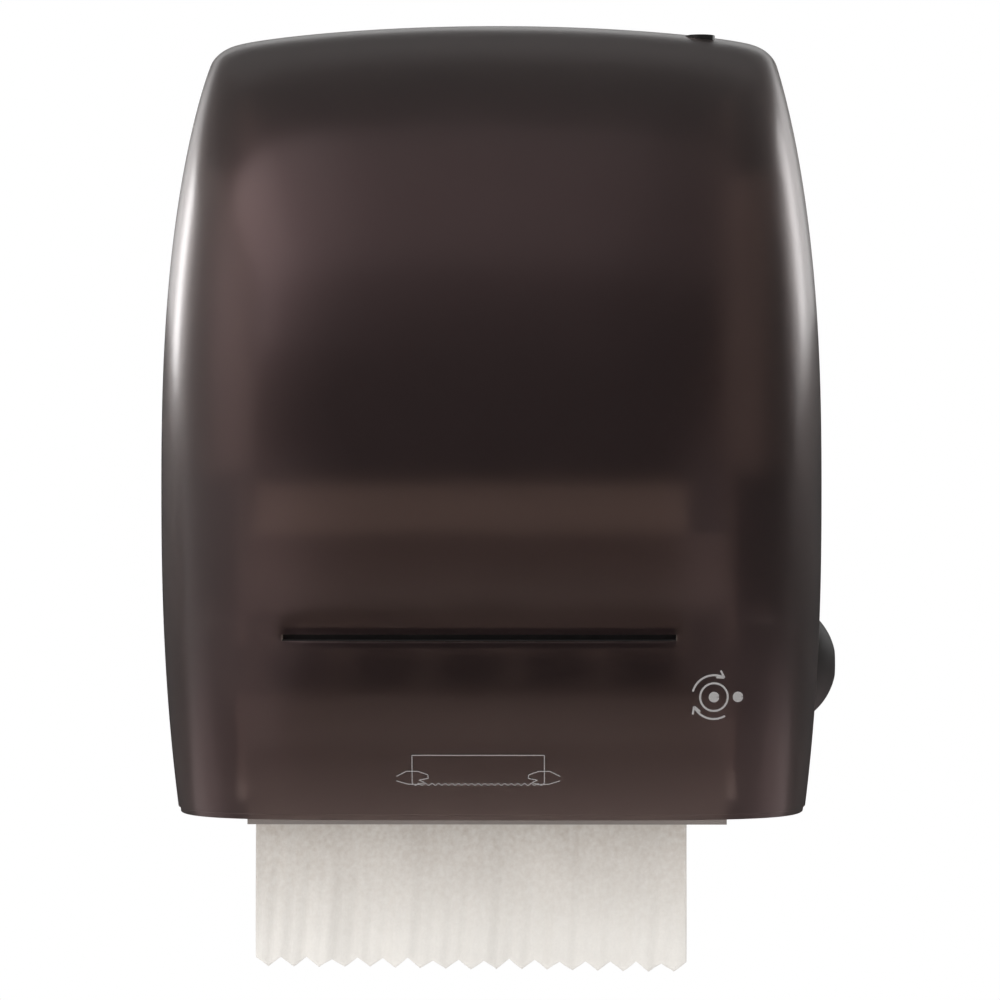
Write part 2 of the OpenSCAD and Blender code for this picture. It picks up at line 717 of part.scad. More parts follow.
module right_roll_arm() color("#3b3838") difference() {
    union() {
        along_x(arm_x0, arm_x1) front_round(arm_pivot_d, hub_d + arm_nose, arm_z0, arm_z1, arm_nose);
        rod_z(arm_z0, arm_z1, arm_boss_r, arm_pivot_x, arm_pivot_d);
        rod_x(arm_x0 - side_gap - hub_flange_t - hub_len - 1, arm_x1, hub_pin_r, hub_at);
    }
    rod_z(arm_z0 - 1, arm_z1 + 10, arm_pin_r + run_gap, arm_pivot_x, arm_pivot_d);
}
module arm_pivot_pin() color("silver") {
    rod_z(arm_z0 - side_gap - lug_t, arm_z1 + arm_spring_room + lug_t, arm_pin_r, arm_pivot_x, arm_pivot_d);
    rod_z(arm_z1 + arm_spring_room + lug_t, arm_z1 + arm_spring_room + lug_t + 2, arm_pin_r + 2,
        arm_pivot_x, arm_pivot_d);
}
// Torsion spring round the arm's pin
small_wire_r = 0.55;
arm_spring_turns = 5;
arm_spring_path = [for (p = coil(arm_spring_turns, arm_pin_r + small_wire_r + 0.4, 2, 8))
    [arm_pivot_x + p[0], -arm_pivot_d + p[1], arm_z1 + 1 + p[2]]];
module arm_spring() color("silver") {
    wire(arm_spring_path, small_wire_r);
}

// Feed drum: a hollow shell with a window for the knife, between two caps on a steel shaft
drum_at = [drum_d, drum_z];
band_t = 1;
window = [-9, 22];
band_pitch = (shell_x1 - shell_x0) / bands;
band_starts = [for (k = [0:bands - 1]) shell_x0 + band_pitch * (k + 0.5) - band_w / 2];
module knife_window() {
    along_x(shell_x0 + 4, shell_x1 - 4) knife_frame()
        translate([drum_r / 2, window[0]]) square([drum_r, window[1] - window[0]]);
}
module drum_shaft() color("silver") difference() {
    rod_x(shaft_x0, shaft_x1, shaft_r, drum_at);
    rod_x(shaft_x1 - 10, shaft_x1 + 1, screw_r + seat_gap, drum_at);
}
module feed_drum() color("#8d8884") difference() {
    tube_x(shell_x0, shell_x1, drum_r, drum_r - drum_wall, drum_at);
    for (x = band_starts) tube_x(x, x + band_w, drum_r + 1, drum_r - band_t, drum_at);
    knife_window();
}
module drum_grip_bands() color("#2b2a2a") difference() {
    for (x = band_starts) tube_x(x, x + band_w, drum_r, drum_r - band_t, drum_at);
    knife_window();
}
spigot = 4;
module drum_cap(x0, inner_x0) difference() {
    union() {
        rod_x(x0, x0 + cap_w, drum_r, drum_at);
        tube_x(inner_x0, inner_x0 + spigot, drum_r - drum_wall - seat_gap, drum_r - 2 * drum_wall, drum_at);
        rod_x(inner_x0, inner_x0 + spigot, shaft_r + 4, drum_at);
    }
    rod_x(x0 - spigot - 1, x0 + cap_w + spigot + 1, shaft_r + seat_gap, drum_at);
    along_x(x0 - spigot - 1, x0 + cap_w + spigot + 1) knife_frame()
        translate(knife_pivot) circle(rod_r + run_gap);
}
module drum_left_cap() color("#6f6b68") {
    drum_cap(drum_x0, shell_x0);
}
module drum_right_cap() color("#6f6b68") {
    drum_cap(shell_x1, shell_x1 - spigot);
}

// Knife: a serrated blade screwed to a carrier on a rod, and a crank with a roller at the right end
carrier_x0 = shell_x0 + spigot + 1;
carrier_x1 = shell_x1 - spigot - 1;
blade_x0 = carrier_x0 + 1;
blade_x1 = carrier_x1 - 1;
blade_from = 8;
blade_tooth = 4;
blade_angle = knife_angle + knife_fold;
pivot_at = [drum_d + knife_pivot[0] * cos(knife_angle) - knife_pivot[1] * sin(knife_angle),
    drum_z + knife_pivot[0] * sin(knife_angle) + knife_pivot[1] * cos(knife_angle)];
blade_screw_xs = [for (k = [0:3]) blade_x0 + (blade_x1 - blade_x0) * (k + 0.5) / 4];
blade_screw_r = 1.5;
blade_screw_at = 12.5;
module knife_rod() color("silver") {
    along_x(drum_x0 - 1, crank_x1) knife_frame() translate(knife_pivot) circle(rod_r);
}
// Blade frame: across, along the blade from its pivot, and out of its lower face
module on_blade() {
    translate([0, -pivot_at[0], pivot_at[1]]) rotate([180 - blade_angle, 0, 0])
        translate([0, 0, -carrier_t / 2]) children();
}
module blade_screw_holes() {
    for (x = blade_screw_xs) on_blade() translate([x, blade_screw_at, -blade_t - 1])
        cylinder(h = carrier_t, r = blade_screw_r + seat_gap);
}
module knife_carrier() color("#4a4646") difference() {
    along_x(carrier_x0, carrier_x1) knife_frame() translate(knife_pivot) difference() {
        union() {
            circle(carrier_hub_r);
            rotate(knife_fold) translate([0, -carrier_t / 2]) square([carrier_len, carrier_t]);
        }
        circle(rod_r + seat_gap);
    }
    blade_screw_holes();
}
module knife_blade() color("gainsboro") difference() {
    pitch = (blade_x1 - blade_x0) / (2 * teeth);
    edge = [for (k = [0:2 * teeth]) [blade_x1 - k * pitch, knife_len - (k % 2 == 0 ? blade_tooth : 0)]];
    on_blade() translate([0, 0, -blade_t]) linear_extrude(blade_t)
        polygon(concat([[blade_x0, blade_from], [blade_x1, blade_from]], edge));
    blade_screw_holes();
}
module blade_screws() color("silver") {
    for (x = blade_screw_xs) on_blade() translate([x, blade_screw_at, -blade_t]) {
        cylinder(h = carrier_t - 2, r = blade_screw_r);
        translate([0, 0, -1.5]) cylinder(h = 1.5, r = blade_screw_r + 1);
    }
}
module knife_crank() color("silver") {
    along_x(crank_x0, crank_x1) knife_frame() difference() {
        link(knife_pivot, roller_at, rod_r + 3, cam_roller_r - 0.5, 7);
        translate(knife_pivot) circle(rod_r + seat_gap);
    }
    along_x(crank_x1, roller_x1) knife_frame() translate(roller_at) circle(roller_pin_r);
}
module cam_roller() color("#d8d4c8") {
    along_x(roller_x0, roller_x1) knife_frame() translate(roller_at) difference() {
        circle(cam_roller_r);
        circle(roller_pin_r + run_gap);
    }
}
// Fixed cam: its lobe pushes the roller inwards, which swings the knife out
lobe_r = 16;
lobe_angle = -20;
module knife_cam() color("#c9c4b8") {
    along_x(cam_x0, right_in) translate(drum_at) difference() {
        circle(cam_out_r);
        difference() {
            circle(cam_in_r);
            rotate(lobe_angle) translate([cam_in_r + 4, 0]) circle(lobe_r);
        }
    }
}

// Bushes, clutch and drive housing
module bush(x0, flange_x0) difference() {
    union() {
        rod_x(x0, x0 + plate, bush_r, drum_at);
        rod_x(flange_x0, flange_x0 + flange_t, flange_r, drum_at);
    }
    rod_x(x0 - 10, x0 + 10, shaft_r + run_gap, drum_at);
}
module left_bush() color("#d8d4c8") {
    bush(left_out, left_in);
}
module right_bush() color("#d8d4c8") {
    bush(right_in, right_out);
}
clutch_x1 = housing_x1 - housing_wall - 2;
clutch_x0 = clutch_x1 - clutch_len;
module one_way_clutch() color("silver") {
    tube_x(clutch_x0, clutch_x1, clutch_r, shaft_r + run_gap, drum_at);
}
module drive_housing() color("#232122") difference() {
    union() {
        along_x(right_out, housing_x1) all_round(housing_d0, housing_d1, housing_z0, housing_z1, housing_r);
        for (at = housing_ears) rod_x(right_out, right_out + tab_t, screw_r + 4, at);
    }
    difference() {
        along_x(right_out - 1, housing_x1 - housing_wall)
            all_round(housing_d0 + housing_wall, housing_d1 - housing_wall,
                housing_z0 + housing_wall, housing_z1 - housing_wall, housing_r - housing_wall);
        rod_x(clutch_x0, housing_x1, clutch_r + housing_wall, drum_at);
    }
    rod_x(clutch_x0 - 1, clutch_x1, clutch_r + seat_gap, drum_at);
    rod_x(clutch_x0, housing_x1 + 1, shaft_r + 1.5, drum_at);
    for (at = housing_ears) rod_x(right_out - 1, right_out + tab_t + 1, screw_r + seat_gap, at);
}
module housing_screws() color("silver") {
    for (at = housing_ears) {
        rod_x(right_in, right_out + tab_t, screw_r, at);
        rod_x(right_out + tab_t, right_out + tab_t + head_t, head_r, at);
    }
}

// Feed knob on the right end of the drum shaft
dome_steps = 9;
knob_recess = 2.6;
module feed_knob() color("#2c2a29") difference() {
    translate([0, -drum_d, drum_z]) rotate([0, 90, 0]) rotate_extrude() polygon(concat(
        [[0, knob_x0], [knob_r, knob_x0]],
        [for (k = [0:dome_steps], t = [90 * k / dome_steps]) [knob_flat_r + (knob_r - knob_flat_r) * cos(t),
            knob_x0 + knob_rim + (knob_x1 - knob_x0 - knob_rim) * sin(t)]],
        [[0, knob_x1]]));
    rod_x(knob_x0 - 1, shaft_x1, shaft_r + seat_gap, drum_at);
    rod_x(shaft_x1 - 1, knob_x1 + 1, screw_r + seat_gap, drum_at);
    rod_x(knob_x1 - knob_recess, knob_x1 + 1, head_r + 0.5, drum_at);
}
module knob_screw() color("silver") {
    rod_x(knob_x1 - knob_recess, knob_x1 - knob_recess + head_t - 0.4, head_r, drum_at);
    rod_x(shaft_x1 - 8, knob_x1 - knob_recess, screw_r, drum_at);
}

// Return crank and tension spring, which carry the drum on after each cut
module crank_disc() color("#6f6b68") difference() {
    union() {
        rod_x(disc_x0, disc_x1, return_crank + 6, drum_at);
        rod_x(disc_x1, left_out - side_gap, shaft_r + 4, drum_at);
    }
    rod_x(disc_x0 - 1, left_out + 1, shaft_r + seat_gap, drum_at);
    rod_x(disc_x0 - 1, disc_x1 + 1, spring_pin_r + seat_gap, crank_at);
}
module crank_pin() color("silver") {
    rod_x(pin_x0, disc_x1, spring_pin_r, crank_at);
    rod_x(pin_x0 - 2, pin_x0, spring_pin_r + 1.5, crank_at);
}
module spring_post() color("silver") {
    rod_x(pin_x0, left_in, spring_pin_r, post_at);
    rod_x(pin_x0 - 2, pin_x0, spring_pin_r + 1.5, post_at);
}
// Spring in its own frame: along the pull, square to it, and across
spring_r = spring_pin_r + spring_wire_r + 0.4;
spring_leg = 9;
hook_step = 30;
spring_span = norm(post_at - crank_at);
spring_along = (post_at - crank_at) / spring_span;
spring_pitch = (spring_span - 2 * spring_leg) / spring_turns;
function hook(from, to, s) =
    [for (a = [from:-hook_step:to]) [s + spring_r * cos(a), spring_r * sin(a), 0]];
spring_local = concat(hook(330, 90, 0),
    [for (k = [0:curl * spring_turns], a = [360 * k / curl])
        [spring_leg + spring_pitch * k / curl, spring_r * cos(a), spring_r * sin(a)]],
    hook(90, -150, spring_span));
spring_path = [for (p = spring_local)
    [spring_x + p[2], -(crank_at[0] + p[0] * spring_along[0] - p[1] * spring_along[1]),
     crank_at[1] + p[0] * spring_along[1] + p[1] * spring_along[0]]];
module return_spring() color("silver") {
    wire(spring_path, spring_wire_r);
}
echo(return_spring_least_gap = least_gap(spring_path, spring_wire_r));
echo(arm_spring_least_gap = least_gap(arm_spring_path, small_wire_r));

// Pinch rollers on two sprung levers press the paper on the drum
pinch_at = [pinch_d, drum_z];
left_lever_x0 = left_out - 0.5 - lever_t;
right_lever_x0 = right_out + 0.5;
module pinch_lever(x0) {
    along_x(x0, x0 + lever_t) difference() {
        link(lever_pivot, pinch_at, pinch_shaft_r + 4, pinch_shaft_r + 3, 9);
        translate(lever_pivot) circle(pinch_shaft_r + run_gap);
        translate(pinch_at) circle(pinch_shaft_r + run_gap);
    }
}
module left_pinch_lever() color("#3b3838") {
    pinch_lever(left_lever_x0);
}
module right_pinch_lever() color("#3b3838") {
    pinch_lever(right_lever_x0);
}
module pinch_pivot_pins() color("silver") {
    rod_x(left_in - pivot_len, left_in, pinch_shaft_r, lever_pivot);
    rod_x(left_in - pivot_len - 2, left_in - pivot_len, pinch_shaft_r + 2, lever_pivot);
    rod_x(right_in, right_in + pivot_len, pinch_shaft_r, lever_pivot);
    rod_x(right_in + pivot_len, right_in + pivot_len + 2, pinch_shaft_r + 2, lever_pivot);
}
pinch_spring_turns = 4;
pinch_spring_local = coil(pinch_spring_turns, pinch_shaft_r + small_wire_r + 0.4, 1.9, 8);
function beside_lever(x, side) = [for (p = pinch_spring_local)
    [x + side * (1 + p[2]), -lever_pivot[0] - p[0], lever_pivot[1] + p[1]]];
module pinch_springs() color("silver") {
    wire(beside_lever(left_lever_x0, -1), small_wire_r);
    wire(beside_lever(right_lever_x0 + lever_t, 1), small_wire_r);
}
echo(pinch_spring_least_gap = least_gap(pinch_spring_local, small_wire_r));
module pinch_shaft() color("silver") {
    rod_x(left_out - pinch_shaft_over, right_out + pinch_shaft_over, pinch_shaft_r, pinch_at);
}
pinch_pitch = towel_w / pinch_count;
module pinch_rollers() color("#2b2a2a") {
    for (k = [0:pinch_count - 1], x = [towel_x0 + pinch_pitch * (k + 0.5) - pinch_len / 2])
        tube_x(x, x + pinch_len, pinch_r, pinch_shaft_r + seat_gap, pinch_at);
}

// Stub roll, its cradle and the lower guides
cradle_from = -112;
cradle_to = 10;
cradle_r = stub_r + paper_gap;
module stub_cradle() color("#5f5a57") {
    along_x(left_in, right_in) translate([stub_d, stub_z]) intersection() {
        difference() {
            circle(cradle_r + cradle_t);
            circle(cradle_r);
        }
        polygon([for (a = [[0, cradle_from], [1, cradle_from], [1, -70], [1, -30], [1, cradle_to]])
            a[0] * 3 * stub_r * [cos(a[1]), sin(a[1])]]);
    }
}
slot_d = 20;
lip_drop = 4.5;
guide_t = 2.5;
rear_lip_d = sheet_d - 0.4 * slot_d;
front_lip_d = rear_lip_d + slot_d;
guide_top = drum_z - 13;
guide_bend = floor_z + 25;
guide_lean = 13.5;
module exit_guide() color("#9c9690") {
    along_x(left_in, right_in) polygon([[front_lip_d, body_bottom - lip_drop],
        [front_lip_d + guide_t, body_bottom - lip_drop], [front_lip_d + guide_t + 2, guide_bend],
        [front_lip_d + guide_t + guide_lean, guide_top], [front_lip_d + guide_lean, guide_top + 1.5],
        [front_lip_d + 2, guide_bend + 1]]);
}
module bottom_pan() color("#3b3838") {
    slab(left_in, right_in, back_wall, rear_lip_d, floor_z - pan_t, floor_z);
    slab(left_in, right_in, rear_lip_d - pan_t, rear_lip_d, body_bottom - lip_drop, floor_z);
}
module stub_towel_roll() color("#efe9e0") {
    tube_x(towel_x0, towel_x1, stub_r, core_r + seat_gap, [stub_d, stub_z]);
}
module roll_core() color("#a98a63") {
    tube_x(towel_x0, towel_x1, core_r, core_r - core_wall, [stub_d, stub_z]);
}

// Towel sheet: off the stub roll, over the drum, through the pinch and down to its zigzag end
sheet_wrap = 4;
tail_rows = 8;
sheet_cols = 2 * teeth;
sheet_n = [cos(sheet_angle), sin(sheet_angle)];
sheet_rows = concat([[[stub_d, stub_z] - stub_sheet_r * sheet_n, sheet_n]],
    [for (k = [0:sheet_wrap], a = [sheet_angle * (1 - k / sheet_wrap)])
        [drum_at + sheet_r * [cos(a), sin(a)], [cos(a), sin(a)]]],
    [for (k = [1:tail_rows]) [[sheet_d, drum_z + (tail_z - drum_z) * k / tail_rows], [1, 0]]]);
function fold_share(z) = let (s = min(1, max(0, (floor_z - z) / (tail_len + 5)))) s * s * (3 - 2 * s);
function fold_at(x, z) = let (t = (x - towel_x0) / towel_w)
    fold_d * fold_share(z) * (sin(360 * 2.5 * t + 40) + 0.6 * sin(360 * 5.5 * t + 110));
function sheet_point(row, col, side) = let (at = row[0] + side * paper / 2 * row[1],
        x = towel_x0 + towel_w * col / sheet_cols,
        cut = at[1] < tail_z + 1 && col % 2 == 0 ? tooth_h : 0)
    [x, -at[0] - fold_at(x, at[1]), at[1] + cut];
module towel_sheet() color("#efe9e0") {
    polyhedron([for (side = [1, -1], row = sheet_rows, col = [0:sheet_cols]) sheet_point(row, col, side)],
        sheet_faces(len(sheet_rows) - 1, sheet_cols));
}

back_tray();
left_side_plate();
right_side_plate();
side_plate_screws();
front_cover();
hinge_pins();
lock_barrel();
latch_cam();
latch_screw();
latch_striker();
striker_screws();
left_hub_pin();
left_roll_hub();
right_roll_arm();
right_roll_hub();
arm_pivot_pin();
arm_spring();
drum_shaft();
feed_drum();
drum_left_cap();
drum_right_cap();
drum_grip_bands();
knife_rod();
knife_carrier();
knife_blade();
blade_screws();
knife_crank();
cam_roller();
knife_cam();
left_bush();
right_bush();
one_way_clutch();
drive_housing();
housing_screws();
feed_knob();
knob_screw();
crank_disc();
crank_pin();
return_spring();
spring_post();
left_pinch_lever();
right_pinch_lever();
pinch_pivot_pins();
pinch_springs();
pinch_shaft();
pinch_rollers();
stub_cradle();
exit_guide();
bottom_pan();
stub_towel_roll();
roll_core();
towel_sheet();
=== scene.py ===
import math

import bmesh
import bpy
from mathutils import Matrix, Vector


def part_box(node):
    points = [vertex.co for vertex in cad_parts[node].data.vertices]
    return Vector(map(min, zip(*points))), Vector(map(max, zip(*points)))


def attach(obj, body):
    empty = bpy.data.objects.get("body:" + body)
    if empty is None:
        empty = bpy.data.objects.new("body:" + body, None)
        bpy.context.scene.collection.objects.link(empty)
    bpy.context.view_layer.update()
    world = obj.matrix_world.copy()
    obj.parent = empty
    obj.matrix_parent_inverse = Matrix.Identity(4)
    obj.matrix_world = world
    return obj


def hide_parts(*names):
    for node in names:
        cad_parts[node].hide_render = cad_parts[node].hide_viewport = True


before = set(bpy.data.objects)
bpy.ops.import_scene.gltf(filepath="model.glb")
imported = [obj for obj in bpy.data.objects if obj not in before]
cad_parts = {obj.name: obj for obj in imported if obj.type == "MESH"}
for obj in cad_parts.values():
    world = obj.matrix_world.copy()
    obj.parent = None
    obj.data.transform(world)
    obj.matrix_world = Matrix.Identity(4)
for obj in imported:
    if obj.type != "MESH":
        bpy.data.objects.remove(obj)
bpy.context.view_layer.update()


# Back tray: the moulded rear half of the body, in fine-grained black plastic, with the
# hinge ears and the roll arm's lugs moulded on. Four screws hold it to the wall.
class Socket:
    """A shader value that can stand in a sum; each operator adds one Math node."""

    def __init__(self, finish, output):
        self.finish = finish
        self.output = output

    def maths(self, operation, first, second):
        return self.finish.node("ShaderNodeMath", {"operation": operation}, {0: first, 1: second})

    def __add__(self, other):
        return self.maths("ADD", self, other)

    def __sub__(self, other):
        return self.maths("SUBTRACT", self, other)

    def __mul__(self, other):
        return self.maths("MULTIPLY", self, other)

    def __gt__(self, other):
        return self.maths("GREATER_THAN", self, other)

    __radd__ = __add__
    __rmul__ = __mul__


class Finish:
    """One material: a Principled shader with constant sockets, and one method for every other node."""

    def __init__(self, name, **constants):
        self.material = bpy.data.materials.new(name)
        self.material.use_nodes = True
        self.tree = self.material.node_tree
        self.shader = self.tree.nodes["Principled BSDF"]
        for socket, value in constants.items():
            self.shader.inputs[socket.replace("_", " ")].default_value = value

    def node(self, kind, settings=None, sockets=None, output=0):
        made = self.tree.nodes.new(kind)
        for key, value in (settings or {}).items():
            setattr(made, key, value)
        for key, value in (sockets or {}).items():
            self.feed(made.inputs[key], value)
        return Socket(self, made.outputs[output])

    def feed(self, socket, value):
        if isinstance(value, Socket):
            self.tree.links.new(value.output, socket)
        else:
            socket.default_value = value

    def place(self, scale=(1.0, 1.0, 1.0)):
        point = self.node("ShaderNodeTexCoord", output="Object")
        return self.node("ShaderNodeMapping", {}, {"Vector": point, "Scale": scale})

    def noise(self, scale, detail=3.0, stretch=(1.0, 1.0, 1.0)):
        return self.node("ShaderNodeTexNoise", {},
                         {"Vector": self.place(stretch), "Scale": scale, "Detail": detail})

    def blend(self, share, first, second):
        return self.node("ShaderNodeMix", {"data_type": "RGBA"}, {0: share, 6: first, 7: second}, output=2)

    def bump(self, height, strength, distance):
        normal = self.node("ShaderNodeBump", {},
                           {"Height": height, "Strength": strength, "Distance": distance})
        self.feed(self.shader.inputs["Normal"], normal)

    def paint(self, colour):
        self.colour = colour
        self.feed(self.shader.inputs["Base Color"], colour)

    def polish(self, roughness):
        self.feed(self.shader.inputs["Roughness"], roughness)


def shade(colour, factor):
    return tuple(c * factor for c in colour[:3]) + (1.0,)


def moulded_plastic(name, colour, roughness, grain=0.00006):
    finish = Finish(name, Specular_IOR_Level=0.4)
    cloud = finish.noise(14.0)
    finish.paint(finish.blend(cloud, shade(colour, 0.82), shade(colour, 1.18)))
    finish.polish(roughness + 0.14 * (finish.noise(60.0) - 0.5))
    finish.bump(finish.noise(2600.0, 2.0), 0.5, grain)
    return finish


def dress(finish, *names):
    for name in names:
        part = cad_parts[name]
        if not part.material_slots:
            part.data.materials.append(None)
        for held in part.material_slots:
            held.material = finish.material


tray_black = moulded_plastic("tray_black", (0.032, 0.026, 0.025), 0.5)
dress(tray_black, "back_tray")

# Side plates and bottom pan: flat mouldings of grey plastic. The plates are screwed to
# the tray by their rear tabs, and the pan closes the body between them.
plate_grey = moulded_plastic("plate_grey", (0.55, 0.488, 0.46), 0.45)
dress(plate_grey, "left_side_plate", "right_side_plate", "bottom_pan")

# Stub cradle: a light grey plastic moulding under the stub roll, held between the
# side plates.
cradle_grey = moulded_plastic("cradle_grey", (0.37, 0.326, 0.3), 0.42)
dress(cradle_grey, "stub_cradle")

# Exit guide: a grey plastic moulding in front of the towel at the exit, held between
# the side plates.
guide_grey = moulded_plastic("guide_grey", (0.29, 0.255, 0.235), 0.42)
dress(guide_grey, "exit_guide")

# Hubs, roll arm, pinch levers and knife carrier: mouldings of glass-filled black
# plastic that turn on steel pins.
hub_black = moulded_plastic("hub_black", (0.03, 0.028, 0.028), 0.42)
dress(hub_black, "left_roll_hub", "right_roll_hub", "right_roll_arm", "left_pinch_lever", "right_pinch_lever",
      "knife_carrier")

# Feed drum: a grey moulded shell between two caps on the shaft, with the return
# crank's disc at its left end.
drum_grey = moulded_plastic("drum_grey", (0.22, 0.2, 0.185), 0.4)
dress(drum_grey, "feed_drum", "drum_left_cap", "drum_right_cap", "crank_disc")

# Drive housing: a black moulded box round the one-way clutch, screwed to the right
# side plate by its ears.
housing_black = moulded_plastic("housing_black", (0.02, 0.018, 0.018), 0.48)
dress(housing_black, "drive_housing")

# Bushes, knife cam and cam roller: cream acetal, pressed into the side plates or
# turning on the crank's pin.
acetal = moulded_plastic("acetal", (0.62, 0.58, 0.5), 0.35)
dress(acetal, "left_bush", "right_bush", "knife_cam", "cam_roller")


# Grip bands and pinch rollers: black rubber sleeves pushed onto the drum and the pinch
# shaft and ground to size, so they show a dull nap and a little dust.
def ground_rubber(name, colour):
    finish = Finish(name, Specular_IOR_Level=0.25)
    dust = finish.noise(90.0, 6.0)
    finish.paint(finish.blend(dust, shade(colour, 0.7), shade(colour, 2.2)))
    finish.polish(0.72 + 0.2 * (finish.noise(240.0) - 0.5))
    finish.bump(finish.noise(3200.0, 2.0), 0.6, 0.0001)
    return finish


grip_rubber = ground_rubber("grip_rubber", (0.022, 0.021, 0.021))
dress(grip_rubber, "drum_grip_bands", "pinch_rollers")


# Steel pieces: turned pins and shafts, pressed latch parts and the small screws, all
# with a brushed grain along X. They sit in bores of the plates, the tray and the drum.
def brushed_steel(name, colour, roughness, stretch):
    finish = Finish(name, Metallic=1.0)
    streak = finish.noise(500.0, 4.0, stretch)
    finish.paint(finish.blend(streak, shade(colour, 0.78), shade(colour, 1.1)))
    finish.polish(roughness + 0.2 * (streak - 0.5))
    finish.bump(streak, 0.25, 0.00005)
    return finish


steel = brushed_steel("steel", (0.56, 0.55, 0.54), 0.34, (0.06, 1.0, 1.0))
dress(steel, "hinge_pins", "latch_cam", "latch_screw", "latch_striker", "left_hub_pin", "arm_pivot_pin",
      "drum_shaft", "knife_rod", "blade_screws", "knife_crank", "one_way_clutch", "knob_screw", "crank_pin",
      "spring_post", "pinch_pivot_pins", "pinch_shaft")

# Knife blade: a thin hardened steel strip with a ground zigzag edge, screwed to the
# carrier. Its grain runs off the edge.
blade_steel = brushed_steel("blade_steel", (0.7, 0.7, 0.71), 0.24, (1.0, 0.05, 0.05))
dress(blade_steel, "knife_blade")


# Springs: drawn steel wire. The return spring pulls on the drum's crank pin and hooks
# over a post. Small torsion springs sit at the pins of the roll arm and pinch levers.
def add_piece(name, verts, faces, body, finish, edges=()):
    mesh = bpy.data.meshes.new(name)
    mesh.from_pydata([tuple(v) for v in verts], list(edges), [tuple(f) for f in faces])
    mesh.update()
    piece = bpy.data.objects.new(name, mesh)
    bpy.context.scene.collection.objects.link(piece)
    if finish:
        mesh.materials.append(finish.material)
    if body:
        settle(piece, body)
    return piece


def settle(piece, body, sharp=0.6):
    piece.data.shade_smooth()
    piece.data.set_sharp_from_angle(angle=sharp)
    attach(piece, body)


def make_tree(name, inputs):
    """An empty Geometry Nodes tree with named inputs, and short ways to add its nodes and end it."""
    tree = bpy.data.node_groups.new(name, "GeometryNodeTree")
    tree.interface.new_socket("Geometry", in_out="INPUT", socket_type="NodeSocketGeometry")
    for label, kind in inputs.items():
        tree.interface.new_socket(label, in_out="INPUT", socket_type=kind)
    tree.interface.new_socket("Geometry", in_out="OUTPUT", socket_type="NodeSocketGeometry")
    start = tree.nodes.new("NodeGroupInput")
    end = tree.nodes.new("NodeGroupOutput")

    def add(kind, sockets, output=0, **settings):
        made = tree.nodes.new(kind)
        for key, value in settings.items():
            setattr(made, key, value)
        for key, value in sockets.items():
            if isinstance(value, bpy.types.NodeSocket):
                tree.links.new(value, made.inputs[key])
            else:
                made.inputs[key].default_value = value
        return made.outputs[output]

    def close(geometry):
        tree.links.new(geometry, end.inputs[0])

    return tree, start.outputs, add, close


def grow(piece, tree, values):
    """Runs the tree on the piece and keeps the result as the piece's plain mesh."""
    modifier = piece.modifiers.new(tree.name, "NODES")
    modifier.node_group = tree
    for item in tree.interface.items_tree:
        if item.in_out == "INPUT" and item.name in values:
            modifier[item.identifier] = values[item.name]
    graph = bpy.context.evaluated_depsgraph_get()
    grown = bpy.data.meshes.new_from_object(piece.evaluated_get(graph))
    piece.modifiers.remove(modifier)
    piece.data = grown
    grown.name = piece.name


wire_tree, wire_in, wire_add, wire_close = make_tree(
    "wire_along_path",
    {"Wire Radius": "NodeSocketFloat", "Sides": "NodeSocketInt", "Finish": "NodeSocketMaterial"})
wire_path = wire_add("GeometryNodeMeshToCurve", {"Mesh": wire_in["Geometry"]})
wire_round = wire_add("GeometryNodeCurvePrimitiveCircle",
                      {"Resolution": wire_in["Sides"], "Radius": wire_in["Wire Radius"]})
wire_tube = wire_add("GeometryNodeCurveToMesh",
                     {"Curve": wire_path, "Profile Curve": wire_round, "Fill Caps": True})
wire_real = wire_add("GeometryNodeRealizeInstances", {"Geometry": wire_tube})
wire_close(wire_add("GeometryNodeSetMaterial", {"Geometry": wire_real, "Material": wire_in["Finish"]}))

spring_steel = brushed_steel("spring_steel", (0.5, 0.5, 0.5), 0.3, (1.0, 1.0, 1.0))
CURL, WIRE_SIDES, WIRE_SHARP = 28, 10, 1.2


def coil(turns, radius, pitch, leg):
    """A coil about a local axis, with a straight leg at each end."""
    turn = [[radius * math.cos(math.tau * k / CURL), radius * math.sin(math.tau * k / CURL), pitch * k / CURL]
            for k in range(CURL * turns + 1)]
    return [[radius, -leg, 0.0]] + turn + [[radius, leg, pitch * turns]]


def spring(name, paths, radius, node):
    verts = [p for path in paths for p in path]
    edges = []
    first = 0
    for path in paths:
        edges += [(first + k, first + k + 1) for k in range(len(path) - 1)]
        first += len(path)
    piece = add_piece(name, verts, [], None, None, edges)
    grow(piece, wire_tree, {"Wire Radius": radius, "Sides": WIRE_SIDES, "Finish": spring_steel.material})
    settle(piece, "housing", WIRE_SHARP)
    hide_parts(node)


drum_low, drum_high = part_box("feed_drum")
DRUM_D, DRUM_Z = -(drum_low[1] + drum_high[1]) / 2, (drum_low[2] + drum_high[2]) / 2
DRUM_R = 0.0485
POST_BACK, POST_UP, CRANK_R = 0.043, 0.097, 0.014
POST = Vector((DRUM_D - POST_BACK, DRUM_Z + POST_UP))
PULL = (POST - Vector((DRUM_D, DRUM_Z))).normalized()
CRANK = Vector((DRUM_D, DRUM_Z)) + CRANK_R * PULL
HOOK_R, HOOK_STEPS, SPRING_X, SPRING_LEG, SPRING_TURNS, TENSION_WIRE = 0.004, 22, -0.130, 0.009, 20, 0.0006
span = (POST - CRANK).length
pitch = (span - 2 * SPRING_LEG) / SPRING_TURNS


def hook(start, end, along):
    angles = [math.radians(start + (end - start) * k / HOOK_STEPS) for k in range(HOOK_STEPS + 1)]
    return [(along + HOOK_R * math.cos(a), HOOK_R * math.sin(a), 0.0) for a in angles]


